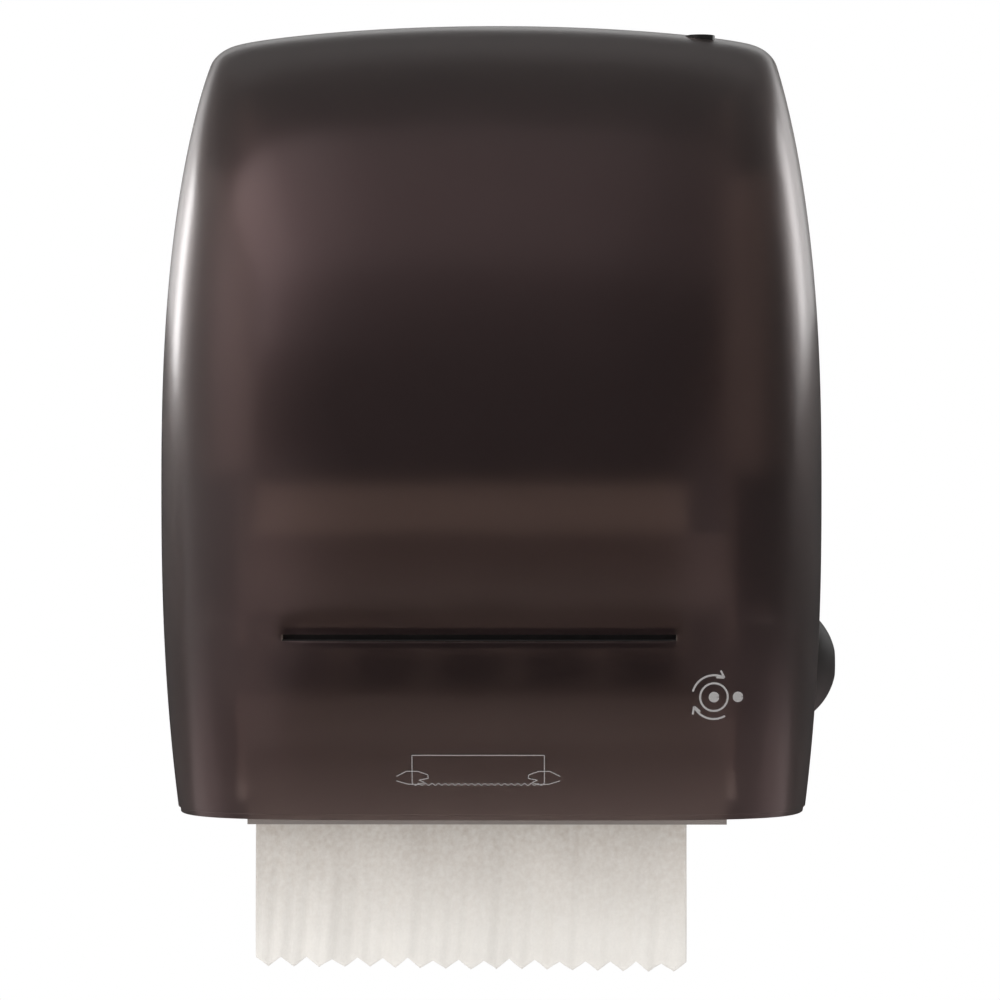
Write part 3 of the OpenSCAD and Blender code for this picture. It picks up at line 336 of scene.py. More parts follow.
local = hook(330, 90, 0.0)
local += [(SPRING_LEG + pitch * k / CURL, HOOK_R * math.cos(math.tau * k / CURL),
           HOOK_R * math.sin(math.tau * k / CURL)) for k in range(CURL * SPRING_TURNS + 1)]
local += hook(90, -150, span)
tension_path = [(SPRING_X + c, -(CRANK[0] + a * PULL[0] - b * PULL[1]), CRANK[1] + a * PULL[1] + b * PULL[0])
                for a, b, c in local]
spring("tension_spring", [tension_path], TENSION_WIRE, "return_spring")

ARM_X, ARM_D, ARM_Z, ARM_TURNS, ARM_PITCH = 0.097, 0.017, 0.065, 5, 0.002
TORSION_R, TORSION_WIRE, TORSION_LEG = 0.00395, 0.00055, 0.008
arm_path = [(ARM_X + a, -ARM_D + b, ARM_Z + c) for a, b, c in coil(ARM_TURNS, TORSION_R, ARM_PITCH, TORSION_LEG)]
spring("roll_arm_spring", [arm_path], TORSION_WIRE, "arm_spring")

LEVER_AHEAD, LEVER_UP, LEVER_GAP, PINCH_TURNS, PINCH_PITCH = 0.0737, 0.025, 0.001, 4, 0.0019
lever_d, lever_z = DRUM_D + LEVER_AHEAD, DRUM_Z + LEVER_UP
levers = [(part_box("left_pinch_lever")[0][0], -1), (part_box("right_pinch_lever")[1][0], 1)]
pinch_coil = coil(PINCH_TURNS, TORSION_R, PINCH_PITCH, TORSION_LEG)
spring("pinch_lever_springs", [[(x + side * (LEVER_GAP + c), -lever_d - a, lever_z + b) for a, b, c in pinch_coil]
                               for x, side in levers], TORSION_WIRE, "pinch_springs")


# Stub roll: the last of a roll of white crepe towel, wound on a cardboard core and
# resting in its cradle. Its ends show the layers as fine rings that don't line up.
def crepe_paper(name, colour):
    finish = Finish(name, Specular_IOR_Level=0.15, Roughness=0.92)
    fibre = finish.noise(900.0, 5.0)
    cloud = finish.noise(45.0, 3.0)
    finish.paint(finish.blend(0.45 * fibre + 0.55 * cloud, shade(colour, 0.86), shade(colour, 1.06)))
    crepe = finish.noise(700.0, 3.0, (1.0, 1.0, 0.35))
    finish.bump(crepe, 0.55, 0.0003)
    return finish


roll_paper = crepe_paper("roll_paper", (0.8, 0.75, 0.68))
roll_low, roll_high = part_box("stub_towel_roll")
ROLL_R = (roll_high[2] - roll_low[2]) / 2
ROLL_D = -(roll_low[1] + roll_high[1]) / 2
ROLL_Z = (roll_low[2] + roll_high[2]) / 2
CORE_R, LAYER, ROLL_SIDES, ROLL_TRIM = 0.02002, 0.00045, 96, 0.0001
LAYER_IN, LAYER_STEP, LAYER_WANDER, WANDER_RATE = 0.00002, 0.00022, 0.0001, 1.7


def ring(sides):
    return [math.tau * k / sides for k in range(sides)]


def lathe_faces(rings, sides, closed=True):
    """Faces between rings of points; in a closed profile the last ring joins the first."""
    return [(j * sides + k, j * sides + (k + 1) % sides,
             (j + 1) % rings * sides + (k + 1) % sides, (j + 1) % rings * sides + k)
            for j in range(rings if closed else rings - 1) for k in range(sides)]


def ringed_end(x, inwards):
    """Rings from core to rim; each second layer lies a little further in."""
    count = int((ROLL_R - CORE_R) / LAYER)
    sunk = [LAYER_IN + LAYER_STEP * (k % 2) + LAYER_WANDER * math.sin(WANDER_RATE * k) for k in range(count + 1)]
    return [(x + inwards * deep, CORE_R + (ROLL_R - CORE_R) * k / count) for k, deep in enumerate(sunk)]


roll_profile = ringed_end(roll_low[0] + ROLL_TRIM, 1) + ringed_end(roll_high[0] - ROLL_TRIM, -1)[::-1]
roll_verts = [(x, -ROLL_D - r * math.cos(a), ROLL_Z + r * math.sin(a))
              for x, r in roll_profile for a in ring(ROLL_SIDES)]
towel_roll = add_piece("towel_roll", roll_verts, lathe_faces(len(roll_profile), ROLL_SIDES), "stub_roll",
                       roll_paper)
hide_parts("stub_towel_roll")

core_card = Finish("core_card", Specular_IOR_Level=0.2, Roughness=0.85)
card_grain = core_card.noise(300.0, 5.0, (0.3, 1.0, 1.0))
core_card.paint(core_card.blend(card_grain, (0.26, 0.17, 0.095, 1.0), (0.4, 0.28, 0.17, 1.0)))
core_card.bump(card_grain, 0.4, 0.0001)
dress(core_card, "roll_core")

# Towel sheet: one ply of crepe paper off the stub roll, over the drum, between the pinch
# rollers and down through the exit. There it hangs with soft pleats, with painted shade of the
# body making it darker and browner in flecks near the exit, and ends in the zigzag that the knife left.
SHEET_X0, SHEET_W = -0.108, 0.198
PAPER, PAPER_GAP = 0.0006, 0.0003
FLOOR_Z, TAIL_LEN, TAIL_Z = -0.1785, 0.073, -0.259
TEETH, TOOTH_H, FOLD, LEAN = 17, 0.005, 0.0022, 0.0025
TOOTH_COLS, WRAP_ROWS, TAIL_ROWS = 12, 10, 70
SHEET_COLS = TEETH * TOOTH_COLS
END_ZONE, FOLD_RUN, PAPER_SHARP, PAPER_SHOWN = 0.02, 0.005, 1.2, 0.6
# Each wave of the pleats: share of FOLD, waves across the sheet, phase, drift down the tail
FOLD_WAVES = ((1.0, 2.5, 0.698, 0.0), (0.6, 5.5, 1.92, 0.0), (0.4, 11.0, 0.4, 3.0), (0.2, 27.0, 0.0, 5.0))
sheet_r = DRUM_R + PAPER_GAP + PAPER / 2
roll_sheet_r = ROLL_R + PAPER_GAP + PAPER / 2
roll_dist = math.hypot(ROLL_D - DRUM_D, ROLL_Z - DRUM_Z)
lead = math.atan2(ROLL_Z - DRUM_Z, ROLL_D - DRUM_D) - math.acos((roll_sheet_r + sheet_r) / roll_dist)


def fold_at(x, z):
    """How far the tail swings towards the front at a place; it grows from none at the exit."""
    share = min(1.0, max(0.0, (FLOOR_Z - z) / (TAIL_LEN + FOLD_RUN)))
    t = (x - SHEET_X0) / SHEET_W
    waves = sum(size * math.sin(math.tau * count * t + phase + drift * share)
                for size, count, phase, drift in FOLD_WAVES)
    return FOLD * share * share * (3 - 2 * share) * waves


sheet_path = [(ROLL_D - roll_sheet_r * math.cos(lead), ROLL_Z - roll_sheet_r * math.sin(lead))]
wrap = [lead * (1 - k / WRAP_ROWS) for k in range(WRAP_ROWS + 1)]
sheet_path += [(DRUM_D + sheet_r * math.cos(a), DRUM_Z + sheet_r * math.sin(a)) for a in wrap]
sheet_path += [(DRUM_D + sheet_r, DRUM_Z + (TAIL_Z - DRUM_Z) * k / TAIL_ROWS)
               for k in range(1, TAIL_ROWS + 1)]
sheet_verts = []
for d, z in sheet_path:
    for col in range(SHEET_COLS + 1):
        t = col / SHEET_COLS
        x = SHEET_X0 + SHEET_W * col / SHEET_COLS
        phase = (t * TEETH) % 1.0
        ragged = 0.84 + 0.16 * math.sin(41.0 * t) * math.cos(17.0 * t)
        cut = TOOTH_H * ragged * abs(2 * phase - 1) + LEAN * (1 - t)
        end = max(0.0, 1 - (z - TAIL_Z) / END_ZONE)
        sheet_verts.append((x, -d - fold_at(x, z), z + cut * end * end))
w = SHEET_COLS + 1
sheet_faces = [(r * w + c, (r + 1) * w + c, (r + 1) * w + c + 1, r * w + c + 1)
               for r in range(len(sheet_path) - 1) for c in range(SHEET_COLS)]
towel_paper = crepe_paper("towel_paper", (0.86, 0.83, 0.785))
height = towel_paper.node("ShaderNodeSeparateXYZ", {}, {0: towel_paper.place()}, "Z")


def towel_range(value, low, high, at_low, at_high):
    return towel_paper.node("ShaderNodeMapRange", {}, {"Value": value, "From Min": low, "From Max": high,
                                                       "To Min": at_low, "To Max": at_high})


# Painted shade: just below the exit the paper is painted darker and browner, fading down the tail; the flecks are
# the paper's own, the shade is painted.
EXIT_SHADE_GREY = (0.5, 0.42, 0.35, 1.0)
painted_shade_near_exit = towel_range(height, -0.245, -0.19, 0.1, 1.0)
fleck = towel_range(towel_paper.noise(430.0, 6.0), 0.28, 0.78, 0.2, 0.66)
shade_below_guide = towel_range(height, -0.19, -0.175, 1.0, 0.15)
towel_paper.paint(towel_paper.blend(painted_shade_near_exit * shade_below_guide * fleck, towel_paper.colour, EXIT_SHADE_GREY))
towel = add_piece("towel_tail", sheet_verts, sheet_faces, None, towel_paper)
thick = towel.modifiers.new("paper", "SOLIDIFY")
thick.thickness = PAPER * PAPER_SHOWN
thick.offset = 0.0
settle(towel, "housing", PAPER_SHARP)
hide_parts("towel_sheet")

# Front cover: one moulding of smoky see-through plastic with a satin skin. It hinges
# forward on two pins at its lower rear corners, and has a thin slit across its front, a
# notch for the knob and a hole for the lock.
BODY_W, BODY_TOP, BODY_BOTTOM, TRAY_D = 0.308, 0.186, -0.186, 0.036
REACH, COVER_WALL, CORNER_R, CROWN = 0.199, 0.0025, 0.013, 0.012
TOP_TAPER, BOTTOM_TAPER, CHIN = 0.0215, 0.0074, 0.021
WAIST_Z, BELLY_Z = BODY_BOTTOM + 0.150, BODY_BOTTOM + 0.142
SIDE_POWER, BROW_POWER, PLAN_POWER = 2.4, 2.5, 5.0
SLIT_X, SLIT_Z, SLIT_W, SLIT_H = -0.004, -0.104, 0.176, 0.0028
RIM_H, RIM_STEP = 0.0023, 0.0008
SCOOP_H, SCOOP_D = 0.014, 0.0014
COVER_LOW, COVER_HIGH, COVER_COLS = 96, 60, 180


def lift(z):
    return max(0.0, (z - WAIST_Z) / (BODY_TOP - WAIST_Z))


def half_width(z, inset):
    sink = max(0.0, (WAIST_Z - z) / (WAIST_Z - BODY_BOTTOM))
    radius, over = CORNER_R - inset, z - (BODY_TOP - CORNER_R)
    corner = radius - math.sqrt(max(0.0, radius * radius - over * over)) if over > 0 else 0.0
    taper = TOP_TAPER * lift(z) ** SIDE_POWER + BOTTOM_TAPER * sink ** SIDE_POWER
    return BODY_W / 2 - inset - taper - corner


def reach_at(z, inset):
    if z > BELLY_Z:
        part = max(0.0, 1 - ((z - BELLY_Z) / (BODY_TOP - inset - BELLY_Z)) ** BROW_POWER)
        return (REACH - inset) * part ** (1 / BROW_POWER)
    return REACH - inset - CHIN * ((BELLY_Z - z) / (BELLY_Z - BODY_BOTTOM)) ** 2


def ray(angle, power):
    return (abs(math.cos(angle)) ** power + abs(math.sin(angle)) ** power) ** (-1 / power)


def crown_drop(x, z):
    return CROWN * (2 * x / BODY_W) ** 2 * lift(z) ** 2


def smooth(low, high, value):
    t = min(1.0, max(0.0, (value - low) / (high - low)))
    return t * t * (3 - 2 * t)


def scoop(x, z):
    """How far the skin dips towards the slit, just above it."""
    across = smooth(SLIT_W / 2 + 0.001, SLIT_W / 2 - 0.004, abs(x - SLIT_X))
    above = smooth(SCOOP_H, 0.0, z - SLIT_Z) if z >= SLIT_Z else smooth(-0.0022, -0.0004, z - SLIT_Z)
    return SCOOP_D * across * above


def cover_point(z, angle, inset, outer):
    k = ray(angle, PLAN_POWER)
    rim = RIM_STEP if outer and z < BODY_BOTTOM + RIM_H else 0.0
    x = half_width(z, inset + rim) * k * math.cos(angle)
    d = TRAY_D + reach_at(z, inset + rim) * k * math.sin(angle)
    return (x, -d + scoop(x, z) * math.sin(angle), z - crown_drop(x, z))


def cover_levels(inset):
    low = [BODY_BOTTOM + (BELLY_Z - BODY_BOTTOM) * k / COVER_LOW for k in range(COVER_LOW)]
    low[1:3] = [BODY_BOTTOM + RIM_H - 0.0001, BODY_BOTTOM + RIM_H + 0.0002]
    high = [math.pi / 2 * k / COVER_HIGH for k in range(COVER_HIGH + 1)]
    return low + [BELLY_Z + (BODY_TOP - inset - BELLY_Z) * ray(q, BROW_POWER) * math.sin(q) for q in high]


def cover_skin(inset, outer):
    levels = cover_levels(inset)
    skin = [cover_point(z, math.pi * c / COVER_COLS, inset, outer)
            for z in levels[:-1] for c in range(COVER_COLS + 1)]
    top = BODY_TOP - inset
    edge = half_width(top, inset)
    for c in range(COVER_COLS + 1):
        x = edge * (1 - 2 * c / COVER_COLS)
        skin.append((x, -TRAY_D, top - crown_drop(x, top)))
    return skin


def shell_faces(rows, cols):
    """Faces of a closed sheet: a grid for its outer skin, then the same grid for its inner skin."""
    w = cols + 1
    o = (rows + 1) * w
    faces = []
    for r in range(rows):
        for c in range(cols):
            a = r * w + c
            faces += [(a, a + w, a + w + 1, a + 1), (a + o, a + o + 1, a + o + w + 1, a + o + w)]
    for c in range(cols):
        b = rows * w + c
        faces += [(c, c + 1, c + 1 + o, c + o), (b + 1, b, b + o, b + 1 + o)]
    for r in range(rows):
        a, b = r * w, r * w + cols
        faces += [(a + w, a, a + o, a + w + o), (b, b + w, b + w + o, b + o)]
    return faces


def prism(name, outline, x0, x1):
    """A closed solid along X from an outline of (depth, z) points."""
    n = len(outline)
    verts = [(x, -d, z) for x in (x0, x1) for d, z in outline]
    faces = [tuple(range(n)), tuple(range(2 * n - 1, n - 1, -1))]
    faces += [(k, n + k, n + (k + 1) % n, (k + 1) % n) for k in range(n)]
    return add_piece(name, verts, faces, None, None)


WELD, COVER_SHARP = 1e-6, 0.7


def face_outwards(piece, weld=False):
    """Turns the faces of a closed piece outwards, after joining points that coincide if told to."""
    shape = bmesh.new()
    shape.from_mesh(piece.data)
    if weld:
        bmesh.ops.remove_doubles(shape, verts=shape.verts, dist=WELD)
    bmesh.ops.recalc_face_normals(shape, faces=shape.faces)
    shape.to_mesh(piece.data)
    shape.free()


def carve(piece, *cutters):
    """Cuts the closed cutters out of the piece and throws them away."""
    for cutter in cutters:
        face_outwards(cutter)
        cut = piece.modifiers.new("cut", "BOOLEAN")
        cut.operation = "DIFFERENCE"
        cut.solver = "EXACT"
        cut.object = cutter
    graph = bpy.context.evaluated_depsgraph_get()
    carved = bpy.data.meshes.new_from_object(piece.evaluated_get(graph))
    piece.modifiers.clear()
    piece.data = carved
    for cutter in cutters:
        bpy.data.objects.remove(cutter)


smoke = Finish("cover_smoke", Transmission_Weight=1.0, IOR=1.46, Specular_IOR_Level=0.45,
               Specular_Tint=(1.0, 0.7, 0.71, 1.0), Coat_Weight=0.45, Coat_Roughness=0.21, Coat_IOR=1.46)
haze = smoke.noise(9.0, 4.0)
smoke.paint(smoke.blend(haze, (0.28, 0.226, 0.21, 1.0), (0.318, 0.258, 0.24, 1.0)))
smoke.polish(0.31 + 0.05 * (smoke.noise(35.0) - 0.5))
smoke.bump(smoke.noise(2200.0, 2.0), 0.25, 0.00003)

cover = add_piece("smoky_cover", cover_skin(0.0, True) + cover_skin(COVER_WALL, False),
                  shell_faces(COVER_LOW + COVER_HIGH, COVER_COLS), None, smoke)

HINGE_D, HINGE_Z, HINGE_GAP, BOSS_R = 0.054, -0.173, 0.018, 0.008
KNOB_R, NOTCH_GAP, PART_GAP = 0.023, 0.006, 0.0006
knob_off = Vector((DRUM_D - HINGE_D, DRUM_Z - HINGE_Z))
notch_w = KNOB_R + NOTCH_GAP
knob_angle = math.atan2(knob_off[1], knob_off[0])


def arc(centre, radius, start, end, steps):
    return [(centre[0] + radius * math.cos(start + (end - start) * k / steps),
             centre[1] + radius * math.sin(start + (end - start) * k / steps)) for k in range(steps + 1)]


HINGE, NOTCH_END, NOTCH_STEPS, NOTCH_X = (HINGE_D, HINGE_Z), math.radians(125), 40, (0.13, 0.17)
SLIT_CUT, HEEL_OUT, HEEL_STEPS, HEEL_XS, HEEL_W = (0.13, 0.25), 0.002, 20, (-0.17, 0.11), 0.06
notch = arc((DRUM_D, DRUM_Z), notch_w, knob_angle - math.pi, knob_angle, NOTCH_STEPS)
notch += arc(HINGE, knob_off.length + notch_w, knob_angle, NOTCH_END, NOTCH_STEPS)[1:]
notch += arc(HINGE, knob_off.length - notch_w, NOTCH_END, knob_angle, NOTCH_STEPS)[:-1]
slit_low, slit_high = SLIT_Z - SLIT_H / 2, SLIT_Z + SLIT_H / 2
slit = prism("slit_cut", [(SLIT_CUT[0], slit_low), (SLIT_CUT[1], slit_low), (SLIT_CUT[1], slit_high),
                          (SLIT_CUT[0], slit_high)], SLIT_X - SLIT_W / 2, SLIT_X + SLIT_W / 2)
heel_r, heel_d, heel_z = HINGE_GAP - PART_GAP, TRAY_D - HEEL_OUT, BODY_BOTTOM - HEEL_OUT
heel = [(heel_d, heel_z), (HINGE_D, heel_z)]
heel += arc(HINGE, heel_r, -math.pi / 2, -math.pi, HEEL_STEPS) + [(heel_d, HINGE_Z)]
heels = [prism(f"heel_cut_{k}", heel, x, x + HEEL_W) for k, x in enumerate(HEEL_XS)]
lock_low, lock_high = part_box("lock_barrel")
LOCK_X, LOCK_D = (lock_low[0] + lock_high[0]) / 2, -(lock_low[1] + lock_high[1]) / 2
LOCK_HOLE, LOCK_SIDES, LOCK_CUT = 0.00706, 48, (0.15, 0.2)
lock_verts = [(LOCK_X + LOCK_HOLE * math.cos(a), -LOCK_D + LOCK_HOLE * math.sin(a), z)
              for z in LOCK_CUT for a in ring(LOCK_SIDES)]
lock_ends = [tuple(range(LOCK_SIDES)), tuple(range(2 * LOCK_SIDES - 1, LOCK_SIDES - 1, -1))]
lock_cut = add_piece("lock_cut", lock_verts, lock_ends + lathe_faces(2, LOCK_SIDES, closed=False),
                     None, None)
carve(cover, slit, prism("notch_cut", notch, *NOTCH_X), lock_cut, *heels)
settle(cover, "cover", COVER_SHARP)
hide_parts("front_cover")

# Slit lip: a black plastic ledge fixed in behind the slit, whose foot lines the slit's
# lower edge. It is a dark sheet put there as painted shade, so that the slit and its lower edge show dark.
LIP_BACK, LIP_T, LIP_H, LIP_STEPS, LIP_FIT = 0.0045, 0.0012, 0.009, 40, 0.996
FOOT_REACH, FOOT_LOW, FOOT_HIGH = 0.0022, 0.0001, 0.0005


def front_depth(x, z, inset=0.0):
    """Depth of the cover's skin at a place on its front."""
    part = abs(x) / half_width(z, inset)
    return TRAY_D + reach_at(z, inset) * (1 - part ** PLAN_POWER) ** (1 / PLAN_POWER)


lip_xs = [SLIT_X + SLIT_W * (k / LIP_STEPS - 0.5) * LIP_FIT for k in range(LIP_STEPS + 1)]
lip_back, slit_foot = LIP_BACK + LIP_T, -SLIT_H / 2
lip_outline = [(lip_back, -LIP_H / 2), (LIP_BACK, -LIP_H / 2), (LIP_BACK, slit_foot + FOOT_LOW),
               (-FOOT_REACH, slit_foot + FOOT_LOW), (-FOOT_REACH, slit_foot + FOOT_HIGH),
               (LIP_BACK, slit_foot + FOOT_HIGH), (LIP_BACK, LIP_H / 2), (lip_back, LIP_H / 2)]
lip_n = len(lip_outline)
lip_verts = [(x, -(front_depth(x, SLIT_Z, COVER_WALL) - b), SLIT_Z + h)
             for x in lip_xs for b, h in lip_outline]
lip_faces = lathe_faces(LIP_STEPS + 1, lip_n, closed=False)
lip_faces += [tuple(reversed(range(lip_n))), tuple(range(lip_n * LIP_STEPS, lip_n * (LIP_STEPS + 1)))]
# Painted shade: the ledge's black stands in for the shade inside the slit.
lip_black = moulded_plastic("lip_black", (0.01, 0.009, 0.009), 0.6)
add_piece("slit_lip", lip_verts, lip_faces, "cover", lip_black)

# Printed signs: pale grey ink on the cover. The one beside the knob shows which way it
# turns. The one above the towel shows a sheet pulled down with both hands.
INK_PROUD, INK_STEP = 0.00012, 0.0006
sign_verts, sign_faces = [], []


def ink_line(points, width):
    """A flat line of ink of even width that follows the cover's skin."""
    fine = []
    for a, b in zip(points, points[1:]):
        count = max(1, int(math.dist(a, b) / INK_STEP))
        fine += [(a[0] + (b[0] - a[0]) * k / count, a[1] + (b[1] - a[1]) * k / count) for k in range(count)]
    fine.append(points[-1])
    base = len(sign_verts)
    for k, (x, z) in enumerate(fine):
        before, after = fine[max(0, k - 1)], fine[min(len(fine) - 1, k + 1)]
        along = Vector((after[0] - before[0], after[1] - before[1])).normalized()
        for side in (-0.5, 0.5):
            px, pz = x - side * width * along[1], z + side * width * along[0]
            sign_verts.append((px, -front_depth(px, pz) - INK_PROUD, pz))
    sign_faces.extend((a, a + 2, a + 3, a + 1) for a in range(base, base + 2 * (len(fine) - 1), 2))


def turn(centre, radius, start, end, steps=36):
    return arc(centre, radius, math.radians(start), math.radians(end), steps)


def arrow_head(tip, angle, length):
    for spread in (150, 210):
        a = math.radians(angle + spread)
        ink_line([tip, (tip[0] + length * math.cos(a), tip[1] + length * math.sin(a))], BOLD)


KNOB_SIGN, BOLD, THIN, DOT_R = (0.1005, -0.1305), 0.0009, 0.00035, 0.0012
SIGN_RING, SIGN_ARROW, SIGN_DOT, HEAD_LEN, DOT_STEPS = 0.0062, 0.0098, 0.0108, 0.0036, 16
ink_line(turn(KNOB_SIGN, SIGN_RING, 0, 360), BOLD)
for dot_x in (KNOB_SIGN[0], KNOB_SIGN[0] + SIGN_DOT):
    ink_line(turn((dot_x, KNOB_SIGN[1]), DOT_R, 0, 360, DOT_STEPS), 2 * DOT_R)
for start, end in ((62, 165), (205, 300)):
    ink_line(turn(KNOB_SIGN, SIGN_ARROW, start, end), BOLD)
    tip = turn(KNOB_SIGN, SIGN_ARROW, start, start, 1)[0]
    arrow_head(tip, start - 95, HEAD_LEN)
PULL_X, PULL_TOP, PULL_BOTTOM, PULL_HALF, ZIGZAG_H, ZIGZAGS = -0.0045, -0.1565, -0.1690, 0.0295, 0.0012, 40
sheet_x0, sheet_x1 = PULL_X - PULL_HALF, PULL_X + PULL_HALF
ink_line([(sheet_x0, PULL_BOTTOM), (sheet_x0, PULL_TOP), (sheet_x1, PULL_TOP), (sheet_x1, PULL_BOTTOM)], THIN)
zigzag = [(sheet_x0 + 2 * PULL_HALF * k / ZIGZAGS, PULL_BOTTOM - ZIGZAG_H * (k % 2)) for k in range(ZIGZAGS + 1)]
ink_line(zigzag, THIN)
GRASP = 0.001
FIST = ((0.008, -0.0095), (0.0035, -0.0072), (-0.0015, -0.0072), (-0.006, -0.0088), (-0.0062, -0.0104),
        (-0.002, -0.0112), (-0.0045, -0.0122), (-0.002, -0.0132), (0.003, -0.0130), (0.008, -0.0115))
for side in (-1, 1):
    hand = PULL_X + side * (PULL_HALF - GRASP)
    ink_line([(hand + side * u, PULL_TOP + v) for u, v in FIST], THIN)
sign_ink = Finish("sign_ink", Roughness=0.6)
INK_GREY = (0.31, 0.3, 0.295)
sign_ink.paint(sign_ink.blend(sign_ink.noise(1500.0, 4.0), shade(INK_GREY, 0.75), shade(INK_GREY, 1.25)))
add_piece("printed_signs", sign_verts, sign_faces, "cover", sign_ink)

# Hinge bosses: short blind sleeves of the cover's plastic, moulded on inside its lower
# rear corners. They turn on the hinge pins.
BOSS_LEN, BOSS_EDGE, BOSS_SUNK, BORE_R, BORE_SHORT, BOSS_SIDES = 0.010, 0.0006, 0.001, 0.00306, 0.0004, 48
boss_end = half_width(HINGE_Z, COVER_WALL)
boss_in, boss_out, bore_end = boss_end - BOSS_LEN, boss_end + BOSS_SUNK, boss_end - BORE_SHORT
boss_profile = [(boss_in, BORE_R), (boss_in, BOSS_R - BOSS_EDGE), (boss_in + BOSS_EDGE, BOSS_R), (boss_out, BOSS_R),
                (boss_out, 0.0), (bore_end, 0.0), (bore_end, BORE_R)]
for side, name in ((1, "right_hinge_boss"), (-1, "left_hinge_boss")):
    boss_verts = [(side * x, -HINGE_D - r * math.cos(a), HINGE_Z + r * math.sin(a))
                  for x, r in boss_profile for a in ring(BOSS_SIDES)]
    boss = add_piece(name, boss_verts, lathe_faces(len(boss_profile), BOSS_SIDES), None, smoke)
    face_outwards(boss, weld=True)
    settle(boss, "cover")

# Lock: a black turned barrel with a key slot in its head. It turns in the hole in the
# top of the cover.
lock_black = moulded_plastic("lock_black", (0.012, 0.011, 0.011), 0.35)
dress(lock_black, "lock_barrel")

# Feed knob: a matte black moulded dome on the right end of the drum shaft, held by a
# screw sunk in its flat end. The dome is part of a ball.
KNOB_RIM, KNOB_FLAT_R, KNOB_EDGE, KNOB_STEPS, KNOB_SIDES, KNOB_SHARP = 0.0046, 0.0064, 0.0005, 28, 96, 0.7
SHAFT_BORE, SCREW_BORE, KNOB_RECESS, RECESS_GAP, SHAFT_UNDER = 0.00502, 0.00202, 0.0026, 0.0005, 0.005
knob_low, knob_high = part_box("feed_knob")
screw_low, screw_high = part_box("knob_screw")
rim_x, end_x = knob_low[0] + KNOB_RIM, knob_high[0]
recess_r, recess_x = (screw_high[2] - screw_low[2]) / 2 + RECESS_GAP, end_x - KNOB_RECESS
ball_x = (end_x ** 2 - rim_x ** 2 + KNOB_FLAT_R ** 2 - KNOB_R ** 2) / (2 * (end_x - rim_x))
ball_r = math.hypot(end_x - ball_x, KNOB_FLAT_R)
slope_0, slope_1 = math.atan2(KNOB_R, rim_x - ball_x), math.atan2(KNOB_FLAT_R, end_x - ball_x)
dome = arc((ball_x, 0.0), ball_r, slope_0, slope_1, KNOB_STEPS)
foot_x = knob_low[0]
knob_profile = [(foot_x, SHAFT_BORE), (foot_x, KNOB_R - KNOB_EDGE), (foot_x + KNOB_EDGE, KNOB_R)] + dome
knob_profile += [(end_x, recess_r + KNOB_EDGE), (end_x - KNOB_EDGE, recess_r), (recess_x, recess_r),
                 (recess_x, SCREW_BORE), (end_x - SHAFT_UNDER, SCREW_BORE), (end_x - SHAFT_UNDER, SHAFT_BORE)]
knob_verts = [(x, -DRUM_D + r * math.cos(a), DRUM_Z + r * math.sin(a))
              for x, r in knob_profile for a in ring(KNOB_SIDES)]
knob_black = moulded_plastic("knob_black", (0.02, 0.018, 0.017), 0.55, 0.0001)
knob = add_piece("domed_knob", knob_verts, lathe_faces(len(knob_profile), KNOB_SIDES), None, knob_black)
face_outwards(knob)
settle(knob, "drum", KNOB_SHARP)
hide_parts("feed_knob")

# Pan-head screws: zinc-plated steel with a cross recess, driven through the plates' rear
# tabs, the striker's foot and the drive housing's ears. Each stands where its solid is.
HEAD_SIDES, HEAD_H, SHANK_R, SCREW_SHARP = 32, 0.0024, 0.002, 0.5
RECESS_REACH, RECESS_HALF, RECESS_FLOOR = 0.0023, 0.0006, 0.0009
HEAD_CURVE = ((1.0, 0.0), (1.0, 0.4), (0.95, 0.65), (0.82, 0.86), (0.62, 0.97), (0.4, 1.0), (0.0, 1.0))


def separate_boxes(name):
    """Lowest and highest corner of each loose body in a node."""
    joined = bmesh.new()
    joined.from_mesh(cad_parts[name].data)
    bmesh.ops.remove_doubles(joined, verts=joined.verts, dist=WELD)
    unseen, boxes = set(joined.verts), []
    while unseen:
        island = [unseen.pop()]
        for vert in island:
            near = {edge.other_vert(vert) for edge in vert.link_edges} & unseen
            unseen -= near
            island.extend(near)
        boxes.append([Vector(pick(v.co[axis] for v in island) for axis in range(3)) for pick in (min, max)])
    joined.free()
    return sorted(boxes, key=lambda box: tuple(box[0]))


def cross_screw(name, head_r, shank):
    """A screw standing on the origin, head up, with its cross recess cut in."""
    profile = [(0.0, -shank), (SHANK_R, -shank), (SHANK_R, 0.0)]
    profile += [(head_r * r, HEAD_H * h) for r, h in HEAD_CURVE]
    verts = [(r * math.cos(a), r * math.sin(a), z) for r, z in profile for a in ring(HEAD_SIDES)]
    screw = add_piece(name, verts, lathe_faces(len(profile), HEAD_SIDES, closed=False), None, None)
    face_outwards(screw, weld=True)
    top = 2 * HEAD_H
    arms = ((RECESS_REACH, RECESS_HALF), (RECESS_HALF, RECESS_REACH))
    carve(screw, *[prism(f"recess_{k}", [(-w, RECESS_FLOOR), (w, RECESS_FLOOR), (w, top), (-w, top)], -a, a)
                   for k, (a, w) in enumerate(arms)])
    return screw


screw_tree, screw_in, screw_add, screw_close = make_tree(
    "screws_at_points",
    {"Screw": "NodeSocketObject", "Facing": "NodeSocketVector", "Finish": "NodeSocketMaterial"})
screw_points = screw_add("GeometryNodeMeshToPoints", {"Mesh": screw_in["Geometry"]})
screw_shape = screw_add("GeometryNodeObjectInfo", {"Object": screw_in["Screw"]}, "Geometry")
screw_turn = screw_add("FunctionNodeAlignRotationToVector", {"Vector": screw_in["Facing"]}, axis="Z")
screw_set = screw_add("GeometryNodeInstanceOnPoints",
                      {"Points": screw_points, "Instance": screw_shape, "Rotation": screw_turn})
screw_real = screw_add("GeometryNodeRealizeInstances", {"Geometry": screw_set})
screw_close(screw_add("GeometryNodeSetMaterial", {"Geometry": screw_real, "Material": screw_in["Finish"]}))

